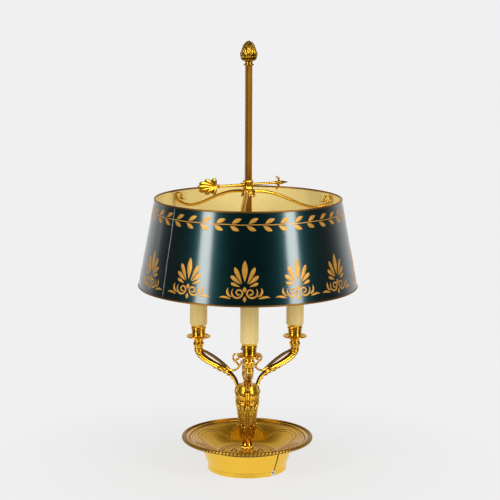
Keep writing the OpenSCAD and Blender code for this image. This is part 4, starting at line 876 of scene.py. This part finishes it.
def finial():
    """An acorn: a cup of ribbed leaves with their tips turned out, and a cone of scales in staggered rows."""
    z, tall, widest, rows, cup_turn = ROD_TOP_Z + 0.1, 36.3, 12.2, 4, 12
    half = tall / 2
    loop = join([0.02, -10], [2.5, -10], [2.5, 0], [6.6, 0], arc((6.6, 1.1), 1.0, -80, 80, 8),
                [6.0, 2.7], bez((5.7, 3.0), (5.2, 3.8), (5.2, 4.8), (5.8, 6), 8),
                bez((5.8, 6), (10.4, 7.8), (11.6, 13), (11.4, half + 0.5), 24),
                bez((10.3, half + 0.7), (10.2, half + 8), (6.0, tall - 3.0), (0.02, tall - 0.7), 40))

    def relief(a, r, v):
        rib = 0.75 * (1 - (np.abs(wave(a, 8, cup_turn)) * 2) ** 3) + 0.3 * np.cos(rad((a - cup_turn) * 24))
        cup = rib * smooth(v, 6, 9) + 0.3 * ridge(across(a, r, 8, cup_turn), 0.6)
        s = (v - half - 0.7) / (tall - half - 1.5) * rows
        row = np.floor(s)
        x = wave(a, 12, 15 * (row % 2))
        scale = (1 - np.abs(x * 2) ** 2.2) * (1 - 0.65 * (s - row)) * 1.1 * (1 - 0.5 * smooth(s, 2.6, 4.0))
        return (np.where((v > 6) & (v < half + 0.6) & (r > 4), cup, 0)
                + np.where((v > half + 0.7) & (s < rows), scale, 0))

    b = Build().turned(loop, 288, relief, 0.4, z)
    tip = bez((10.6, half - 4.2), (11.8, half - 1.5), (11.4, half + 1.5), (12.6, half + 0.6), 10)
    P = shift(tube(tip, [0.5, 0.9, 0.9, 0.3], [2.4, 3.4, 2.6, 0.6], 14)[0], z=z)
    P[..., 0] = np.minimum(P[..., 0], widest)
    for i in range(8):
        b.bar(turn(P, cup_turn + i * 45))
    b.make("acorn_finial", "finial", [WARM])


# ---- Shade ------------------------------------------------------------------

ORNAMENT_Z, LAUREL_Z = 306.7, 388.9


def cone_r(z):
    return SHADE_TOP_R + (SHADE_TOP_Z - z) * SHADE_SLOPE


def lap_rise(a, z):
    """How far the overlapping end of the sheet stands off the cone."""
    near = smooth(z, SHADE_Z, SHADE_Z + 4) * (1 - smooth(z, SHADE_TOP_Z - 4, SHADE_TOP_Z))
    return SHADE_LAP * smooth(a, 345, 353) * near


def shade():
    """The sheet, which laps at its seam, and the two rolled rims."""
    a = np.r_[0.0, np.linspace(0.28, 360, 720)]
    z = np.linspace(SHADE_Z, SHADE_TOP_Z, 40)
    rise = lap_rise(a[:, None], z)
    rise[0] = rise[-1]
    bow = 0.12 * np.sin(z / 11.0) + 0.08 * np.sin(z / 4.1)
    A = rad(SEAM_AZ + a[:, None] + bow * np.exp(-((np.minimum(a, 360 - a) / 4) ** 2))[:, None])
    outer, inner = (np.stack([r * np.cos(A), r * np.sin(A), z + 0 * A], -1)
                    for r in (cone_r(z) + rise, cone_r(z) - SHADE_WALL))
    P = np.concatenate([outer, inner[:, ::-1]], 1)[:-1]
    mat = np.zeros(P.shape[:2], int)
    mat[:, len(z):] = 1
    # The lap's cut edge is a lighter grey green: wear, and a painted highlight along the seam
    mat[0, :len(z) - 1] = 2
    b = Build().ring(P, mat=mat)
    b.make("shade_sheet", "shade_panel", [TOLE, CREAM, WORN_AND_HIGHLIT_EDGE], "shade_carrier", "green_tole")
    for name, node, r, z in (("top_wire", "shade_top_rim", SHADE_TOP_R, SHADE_TOP_Z),
                             ("bottom_wire", "shade_bottom_rim", SHADE_BOTTOM_R, SHADE_Z)):
        wire = arc((r - SHADE_WALL / 2, 0), RIM_R - 0.3, 0, 360, 20)[:-1]
        Build().turned(wire, 360, None, 0.6, z).make(name, node, [RIMS], "shade_carrier")


def on_cone(az0, z0, uv, h):
    """Points of the unrolled shade (u along the edge, v up the slope) on the cone, h above it."""
    tilt = math.atan(SHADE_SLOPE)
    z = z0 + uv[..., 1] * math.cos(tilt)
    a = rad(az0) + uv[..., 0] / cone_r(z)
    r = cone_r(z) + h * math.cos(tilt) + lap_rise((np.degrees(a) - SEAM_AZ) % 360, z)
    return np.stack([r * np.cos(a), r * np.sin(a), z + h * math.sin(tilt)], -1)


def paint_stroke(b, az, z, line, half):
    """A brush stroke of gold paint: a thin crowned ribbon along a line on the shade, with its half widths."""
    side = headings(line)[1]
    sideways = np.array([-1, -0.8, -0.4, 0, 0.4, 0.8, 1, 0.6, -0.6])
    high = 0.12 * np.array([0, 0.75, 1, 1, 1, 0.75, 0, -1.5, -1.5])
    uv = line[:, None] + side[:, None] * (half[:, None] * sideways)[..., None]
    slim = np.clip(half / max(half.max(), 1e-6), 0.02, 1)[:, None] ** 0.5
    b.bar(on_cone(az, z, uv, high * slim), cav=np.array([0, 0.7, 1, 1, 1, 0.7, 0, 0, 0]))


def petal(b, az, z, root, tip, width, blunt=0.3, peak=0.7):
    """A club shaped petal from its root to its tip, widest at the share peak of its length."""
    t = np.linspace(0, 1, 15)
    line = np.asarray(root, float) + t[:, None] * (np.asarray(tip, float) - root)
    swell = 0.85 * (0.5 - 0.5 * np.cos(np.pi * (t / peak) ** 0.8)) + 0.15 * (t > 0)
    close = np.clip(1 - ((t - peak) / (1 - peak)) ** 2, 0, 1) ** (0.5 + blunt * 0.2)
    paint_stroke(b, az, z, line, width / 2 * np.clip(np.where(t > peak, close, swell), 0.03, 1))


def palmettes():
    # Five of the twelve bearings were measured, and the others share the back evenly
    seen = [-62.5, -32.4, -1.6, 26.9, 54.4]
    step = (360 + seen[0] - seen[-1]) / 8
    b = Build()
    for off in seen + [seen[-1] + step * (k + 1) for k in range(7)]:
        at = b, 270 + off, ORNAMENT_Z
        petal(*at, (0, 5.0), (0, 34.2), 7.9, 1.6, 0.55)
        for s in (-1, 1):
            for root, tip, width in (((3.9, 2.4), (14.2, 25.0), 5.9), ((5.4, 1.7), (19.4, 13.2), 5.5),
                                     ((6.8, -1.8), (19.0, 3.0), 4.4)):
                petal(*at, np.array(root) * [s, 1], np.array(tip) * [s, 1], width)
            # Scroll: the free tip stands up outside, sweeps under and curls in
            scroll = join(arc((10.4, -9.7), 7.5, 41, -168, 40), arc((8.2, -10.4), 5.2, -174, -490, 40, 2.0))
            crescent = bez((23.0, -3.6), (25.4, -8.4), (24.4, -14.4), (17.6, -15.6), 16)
            long_leaf = bez((19.6, -18.4), (24, -17.4), (29, -14.9), (35.7, -17.2), 16)
            for line, half in ((even(scroll, 60), [0.3, 0.9, 1.25, 1.3, 1.2, 1.15, 1.1, 1.0, 1.15]),
                               (crescent, [0.2, 1.3, 1.75, 1.4, 0.3]),
                               (long_leaf, [0.3, 1.2, 1.7, 1.3, 0.2])):
                paint_stroke(*at, line * [s, 1], along(half, np.linspace(0, 1, len(line))))
        for v, tall, wide in ((-5.6, 7.8, 5.6), (-19.2, 8.4, 5.2)):
            t = np.linspace(-1, 1, 13)
            paint_stroke(*at, np.c_[0 * t, v + t * tall / 2], wide / 2 * (1 - np.abs(t) ** 1.3) + 0.03)
    b.make("palmettes", None, [PAINT], "shade_carrier")


def laurel():
    """A stem line round the shade with pairs of leaves that grow along it, each a little different."""
    count, steps = 39, 480
    u = np.linspace(0, 2 * math.pi * cone_r(LAUREL_Z), steps + 1)[:-1]
    line = np.c_[u, 0.25 * np.sin(u / 7.0)]
    stem = [on_cone(270, LAUREL_Z, line + [0, v], h) for v, h in (
        (-0.62, -0.05), (-0.55, 0.1), (0, 0.14), (0.55, 0.1), (0.62, -0.05), (0, -0.15))]
    b = Build().ring(np.stack(stem, 1))
    rng = np.random.default_rng(7)
    t = np.linspace(0, 1, 17)
    bow = 0.7 * np.sin(np.pi * t)[:, None]
    half = np.clip(2.95 * np.sin(np.pi * t**1.05) ** 0.9, 0.05, None)
    for k in range(count):
        az = 270 - 0.9 + 360 / count * k + rng.uniform(-0.25, 0.25)
        for s in (1, -1):
            tilt = rad(27 + rng.uniform(-2.5, 2.5))
            length = 15.0 + rng.uniform(-0.6, 0.6)
            way = np.array([math.cos(tilt), s * math.sin(tilt)])
            out = np.array([-math.sin(tilt), s * math.cos(tilt)])
            line = (t * length)[:, None] * way + bow * out + [1.6 + 1.4 * s, 1.5 * s]
            paint_stroke(b, az, LAUREL_Z, line, half)
    b.make("laurel", None, [PAINT], "shade_carrier")


# ---- Shade carrier ----------------------------------------------------------

SCROLL_START, SCROLL_END = SCROLL_R - SPIDER_T, 0.42 * SCROLL_R
TILT = math.degrees(math.atan(SHADE_SLOPE))
# The share of its curl at which the scroll comes nearest to the sloping wall, how far its outer face
# stands from its centre there, and the centre's reach when the scroll stops 0.3 mm short of the wall
CURLED = (-TILT - SCROLL_FROM) / (SCROLL_TO - SCROLL_FROM)
TOUCH = 1.06 * SPIDER_T + SCROLL_START + (SCROLL_END - SCROLL_START) * CURLED
SCROLL_REACH = cone_r(SCROLL_Z) - SHADE_WALL - (TOUCH + 0.3) / math.cos(rad(TILT))


def slide_collar():
    """The square collar with its bore, and the boss: an upright half round with a domed top and foot."""
    h, z, bore = COLLAR_W / 2, COLLAR_Z, COLLAR_BORE / 2
    rows = [(h - 0.7, 1.0, z), (h + 0.3, 1.4, z + 0.5), (h + 0.4, 1.4, z + 1.6), (h - 0.1, 1.4, z + 2.4),
            (h - 0.1, 2.8, z + 3.4), (h + 0.1, 3.0, z + 6), (h - 0.1, 2.8, z + 9.6), (h - 0.1, 1.6, z + 10.4),
            (h + 0.4, 1.4, z + 11.0), (h + 0.4, 1.4, z + 11.9), (h - 0.4, 1.2, z + COLLAR_H)]
    inner = square_loft([(bore, 0.3, row[2]) for row in rows])[::-1]
    t = np.linspace(0, 1, 17)[:, None]
    r = 0.1 + 4.0 * np.sqrt(np.clip(1 - np.abs(2 * t - 1) ** 5, 0, 1))
    a = rad(np.linspace(-90, 90, 13))
    boss = np.stack([h - 0.6 + r * np.cos(a), r * np.sin(a), z + 0.4 + t * (COLLAR_H - 0.8) + 0 * a], -1)
    b = Build().ring(turn(np.concatenate([square_loft(rows), inner]), ROD_AZ)).bar(turn(boss, ROD_AZ))
    b.make("slide_collar", "collar", [GILT], "shade_carrier", sharp=55)


def leaf_hub():
    loop = join([5.9, 2.4], [9.4, 2.4], [10.0, 3.6], bez((9.6, 4.4), (8.6, 5.2), (8.2, 7), (8.3, 10), 10),
                arc((8.1, 11), 0.8, -60, 80, 6), [5.9, 12])

    def relief(a, r, v):
        d = leaves(a, r, v, [(8, ROD_AZ + 22.5, 10.5, 1, 3.1, 0.6)])
        return np.where((r > 7) & (v > 2.6) & (v < 10), d, 0)

    b = Build().turned(loop, 192, relief, 0.5, HUB_Z)
    tip = bez((8.6, 5.2), (9.6, 3.6), (9.8, 1.6), (10.6, 0.1), 10)
    for i in range(8):
        b.swept(ROD_AZ + 22.5 + i * 45, tip, [0.6, 0.8, 0.7, 0.25], [2.6, 2.4, 1.5, 0.25], z=HUB_Z)
    b.make("leaf_hub", "spider_hub", [WARM], "shade_carrier", sharp=55)


def bow_arms():
    """The arms run out from the hub, dip, and rise into a scroll against the wall."""
    centre = np.array([SCROLL_REACH, SCROLL_Z])
    turn_in = rad(SCROLL_FROM)
    way_in = np.array([math.sin(turn_in), -math.cos(turn_in)])
    root = np.array([HUB_R + 0.4, HUB_Z + HUB_H - 3.7])
    dip = np.array([SCROLL_REACH - 2 * SCROLL_R, SPIDER_LOW_Z])
    start = centre + SCROLL_START * np.array([math.cos(turn_in), math.sin(turn_in)])
    sweep, rise = dip[0] - root[0], 0.4 * (start[0] - dip[0])
    path = even(join(bez(root, root + [0.43 * sweep, 0], dip - [0.285 * sweep, 0], dip, 60),
                     bez(dip, dip + [rise, 0], start + rise * way_in, start, 16),
                     arc(centre, SCROLL_START, SCROLL_FROM, SCROLL_TO, 70, SCROLL_END)), 200)
    strap, _ = tube(path, SPIDER_T * np.array([1.35, 1.25, 1.2, 1.15, 1.1, 0.95, 0.7]),
                    3.4 * np.array([1, 1, 1, 1, 0.95, 0.85, 0.7]), 20, None, 0.8)
    # The scroll's eye is a short round bar across the strap
    radii = [1.4, 1.9, 1.9, 1.9, 1.4]
    eye, _ = tube(np.array([[0, -3.1], [0, -2.7], [0, 0], [0, 2.7], [0, 3.1]]), radii, radii, 20)
    eye = np.stack([eye[..., 0] + path[-1][0], eye[..., 2], eye[..., 1] + path[-1][1]], -1)
    spring = start + [-7.5, 1.2]
    bud = bez(spring + [-7, 3.0], spring + [-2, 1.7], spring + [3, 1.6], spring + [6.5, 5.2], 12)
    for i in range(3):
        az = SPIDER_AZ + i * 120
        b = Build().bar(turn(strap, az)).bar(turn(eye, az))
        b.swept(az, bud, [0.3, 0.9, 1.0, 0.3], [0.6, 2.6, 2.4, 0.5])
        b.make(f"bow_arm_{i + 1}", f"spider_arm_{i + 1}", [GILT], "shade_carrier", sharp=50)


def to_arrow(P):
    """From a piece that runs along +X in its own frame onto the arrow's axis."""
    return turn(shift(P, z=ARROW_Z), ROD_AZ)


def arrow_rod(b, outline, way):
    """A turned piece on the arrow's axis: outline of [radius, distance from the upright's axis]."""
    P, _ = lathe(outline, 32, None, 0.8)
    b.ring(to_arrow(np.stack([way * P[..., 2], P[..., 0], P[..., 1]], -1)))


def feather_key():
    """Screw, shoulder and shaft, and seven curled petals fanned out over a thin leaf that closes the gaps."""
    b = Build()
    hilt, thin = ARROW_TAIL - 33, ARROW_SHAFT_R
    arrow_rod(b, [[0.02, 5.18], [2.5, 5.18], [2.5, 9.8], [0.02, 9.8]], 1)
    arrow_rod(b, join([0.02, 9.8], [2.8, 9.8], arc((2.2, 11.0), 1.0, -60, 70, 6), [1.8, 12.4], [thin, 13],
                      [thin, hilt - 3], arc((1.9, hilt - 1.6), 1.1, -70, 70, 6), [thin, hilt + 0.4],
                      [thin, hilt + 5], [0.02, hilt + 5]), 1)
    petals, reach, spread, fan = 7, 28.0, 11.6, 84
    round_it = rad(np.arange(14) * 360 / 14)
    t = np.linspace(0, 1, 19)
    end = np.sqrt(np.clip(1 - (np.clip(t - 0.7, 0, 1) / 0.302) ** 2, 0, 1))
    half = (0.3 + 3.3 * smooth(t, -0.15, 0.6) * end)[:, None]
    bulge = 0.7 * (np.sin(np.pi * t) ** 0.8)[:, None]
    for k in range(petals):
        f = rad(fan * (2 * k / (petals - 1) - 1))
        tip = np.array([hilt + 4 + reach * math.cos(f), spread * math.sin(f)])
        line = bez((hilt + 1.5, 0.6 * math.sin(f)), (hilt + 3 + 9 * math.cos(f), 4.6 * math.sin(f)),
                   tip - [7 * math.cos(f) ** 2 + 1, 1.6 * math.sin(f)], tip, 18)
        side = headings(line)[1]
        for face in (1, -1):
            P = np.stack([line[:, :1] + side[:, :1] * half * np.cos(round_it),
                          face * (bulge + 0.9 * np.sin(round_it) + 0.4),
                          line[:, 1:] + side[:, 1:] * half * np.cos(round_it)], -1)
            # Painted shade and highlight: each petal is painted darker along its edges and inner side,
            # lighter on its outer face
            b.bar(to_arrow(P), cav=0.3 + 0.6 * np.clip(np.sin(round_it), 0, 1) ** 0.8)
    web = arc((0, 0), 1, 0, 360, 40)[:-1]
    sheet = [np.stack([hilt + 14 + 12 * web[:, 0] * q, np.full(40, y), 9.6 * web[:, 1] * q], -1)
             for q, y in ((0.02, 0.8), (0.95, 0.8), (1.0, 0.0), (0.95, -0.8), (0.02, -0.8))]
    # The leaf between the petals is painted dark: painted shade in the gaps
    b.bar(to_arrow(np.array(sheet)), cav=0.2)
    b.make("feather_key", "arrow_key", [WARM], "key", sharp=50)


def arrow_point():
    """The pointed half: shaft, a cross with curled ends, and the point."""
    b = Build()
    start, cross, thin = COLLAR_W / 2 + 0.1, ARROW_TIP - 20, ARROW_SHAFT_R
    arrow_rod(b, join([0.02, start], [3, start], [3, start + 1.2], [thin, start + 2], [thin, cross - 2],
                      arc((1.9, cross - 0.8), 1.1, -70, 70, 6), [thin, cross + 0.8], [3.1, cross + 5.2],
                      bez((2.6, cross + 9.5), (1.8, cross + 14), (0.9, cross + 17), (0.25, ARROW_TIP), 8),
                      [0.02, ARROW_TIP]), -1)
    for s in (1, -1):
        curl = join(bez((1, 0), (3.4, 2.4 * s), (3.2, 5.4 * s), (2.6, 7.2 * s), 14),
                    arc((0.9, 7.6 * s), 1.8, 8 * s, 200 * s, 18, 0.9))
        barb = bez((4.6, 1.4 * s), (4.4, 4.5 * s), (5.0, 6.6 * s), (6.6, 8.2 * s), 12)
        for P, _ in (tube(even(curl, 44), [1.6, 1.5, 1.1, 1.0, 0.9, 0.8], [1.8, 1.5, 1.3, 1.2, 1.1, 1.0], 14),
                     tube(barb, [1.2, 1.1, 0.8, 0.3], [1.5, 1.3, 0.9, 0.3], 12)):
            b.bar(to_arrow(shift(P, x=cross) * [-1, 1, 1]))
    b.make("arrow_point", "arrow_head", [WARM], "shade_carrier", sharp=50)


# ---- Light, floor and camera ------------------------------------------------

BACK = 0.871        # the backdrop's level, as the camera sees it
FILL = 0.27         # even light on matt surfaces
FLOOR_GLOW = 0.82   # how far the floor near the lamp already is the backdrop


def backdrop():
    """World: flat pale for the camera, a studio for reflections, an even fill for matt surfaces."""
    SCENE.world = bpy.data.worlds.new("studio")
    SCENE.world.use_nodes = True
    k = Nodes(SCENE.world.node_tree)
    k.t.nodes.clear()
    where = k.node("SeparateXYZ", i0=k.node("TexCoord").outputs["Generated"])
    studio = k.ramp(k.map(where.outputs["Y"], 1, -1, 0, 1),
                    (0.0, (0.72, 0.72, 0.72)), (0.15, (0.70, 0.70, 0.70)), (0.26, (0.28, 0.27, 0.26)),
                    (0.40, (0.09, 0.08, 0.07)), (0.8, (0.03, 0.026, 0.022)), (1.0, (0.02, 0.018, 0.016)))
    flat, fill, room = (k.node("Background", Color=colour, Strength=strength).outputs[0]
                        for colour, strength in (((BACK,) * 3, 1.0), ((1, 0.98, 0.95), FILL), (studio, 1.0)))
    ray = k.node("LightPath").outputs
    unseen = k.shaders(ray["Is Diffuse Ray"], room, fill)
    k.node("OutputWorld", Surface=k.shaders(ray["Is Camera Ray"], unseen, flat))


def floor():
    """A pale round floor that melts into the backdrop towards its edge and keeps the lamp's shadow."""
    k = Look("floor", Roughness=0.7)
    k.put(Base_Color=k.drift(k.noise(900, 2), 0.3, 0.7, (0.84, 0.84, 0.84), (0.82, 0.82, 0.82)))
    far = k.node("VectorMath", {"operation": "LENGTH"}, i0=k.co).outputs["Value"]
    ray = k.node("LightPath").outputs
    mirrored = k.math("MAXIMUM", ray["Is Glossy Ray"], ray["Is Transmission Ray"])
    seen = k.math("MAXIMUM", ray["Is Camera Ray"], mirrored)
    share = k.math("MULTIPLY", k.map(far, 0.16, 0.42, FLOOR_GLOW, 1.0), seen)
    pale = k.node("Emission", Color=(BACK,) * 3, Strength=1.0).outputs[0]
    out = next(n for n in k.t.nodes if n.type == "OUTPUT_MATERIAL")
    k.feed(out, Surface=k.shaders(share, k.b.outputs[0], pale))
    me = bpy.data.meshes.new("floor")
    rim = arc((0, 0), 0.44, 0, 360, 96)[:-1]
    me.from_pydata(np.c_[rim, 0 * rim[:, 0]].tolist(), [], [list(range(len(rim)))])
    me.materials.append(k.m)
    ob = bpy.data.objects.new("floor", me)
    SCENE.collection.objects.link(ob)


def softbox(name, az, dist, height, wide, tall, radiance, aim):
    """An area light that shows in reflections as a plain panel of the given radiance."""
    d = bpy.data.lights.new(name, "AREA")
    d.shape, d.size, d.size_y = "RECTANGLE", wide, tall
    d.energy = radiance * math.pi * wide * tall
    d.color = (1.0, 0.98, 0.95)
    ob = bpy.data.objects.new(name, d)
    a = math.radians(az)
    ob.location = (math.sin(a) * dist, -math.cos(a) * dist, height)
    ob.rotation_euler = (Vector(aim) - ob.location).to_track_quat("-Z", "Y").to_euler()
    ob.visible_camera = False
    SCENE.collection.objects.link(ob)


def camera():
    """The camera that the photograph's ellipses give: 2.45 m off, 0.76 m up, pitched 9.9 degrees down."""
    pitch, yaw, roll, focal_px, frame_px = 0.17252, 0.0012, 0.0046, 1699.4, 500
    f = Vector((math.sin(yaw) * math.cos(pitch), math.cos(yaw) * math.cos(pitch), -math.sin(pitch)))
    right = f.cross(Vector((0, 0, 1))).normalized()
    up = right.cross(f)
    x = math.cos(roll) * right + math.sin(roll) * up
    y = -math.sin(roll) * right + math.cos(roll) * up
    cam = bpy.data.cameras.new("camera")
    cam.sensor_width = 36
    cam.lens = focal_px / frame_px * cam.sensor_width
    ob = bpy.data.objects.new("camera", cam)
    ob.matrix_world = Matrix((
        (x.x, y.x, -f.x, 0.0), (x.y, y.y, -f.y, -2.45458), (x.z, y.z, -f.z, 0.75731), (0, 0, 0, 1)))
    SCENE.collection.objects.link(ob)
    SCENE.camera = ob


def dress_inner_pieces():
    """Materials for the pieces that keep their CAD shape."""
    looks = {IRON: ["base_weight"], BOARD: ["base_board"], BAIZE: ["felt_pad"], PLASTIC: ["wire_connector"],
             STEEL: ["tie_tube", "tube_nut", "tube_washer", "nipples", "nipple_nuts", "clamp_pad"]
             + [f"holder_bracket_{i}" for i in (1, 2, 3)],
             PORCELAIN: [f"lamp_holder_{i}" for i in (1, 2, 3)], CAP: [f"bulb_cap_{i}" for i in (1, 2, 3)]}
    for look, nodes in looks.items():
        for node in nodes:
            mesh = NODES[node].data
            mesh.materials.clear()
            mesh.materials.append(look)


# ---- Everything -------------------------------------------------------------

for make_piece in (
        foot_band, base_dish, dish_border, cord_bushing, leaf_collar, plain_neck, quiver, crown, baluster,
        candle_arms, knops, pans_and_cups, sleeves, bulbs, grub_screw, upright, finial, shade, palmettes,
        laurel, slide_collar, leaf_hub, bow_arms, feather_key, arrow_point, dress_inner_pieces):
    make_piece()

backdrop()
floor()
for side, name in ((-1, "box_left"), (1, "box_right")):
    bearing = 48.75 * side + 1.25
    softbox(name, bearing, 2.4, 1.3, 0.62, 1.7, 10.5, (0, 0, 0.4))
    softbox(name + "_low", bearing, 2.4, -0.32, 0.62, 0.42, 8.0, (0, 0, 0.2))
softbox("box_top", 20, 1.2, 1.9, 1.3, 1.3, 1.3, (0, 0, 0.3))
camera()
SCENE.view_settings.view_transform = "Standard"
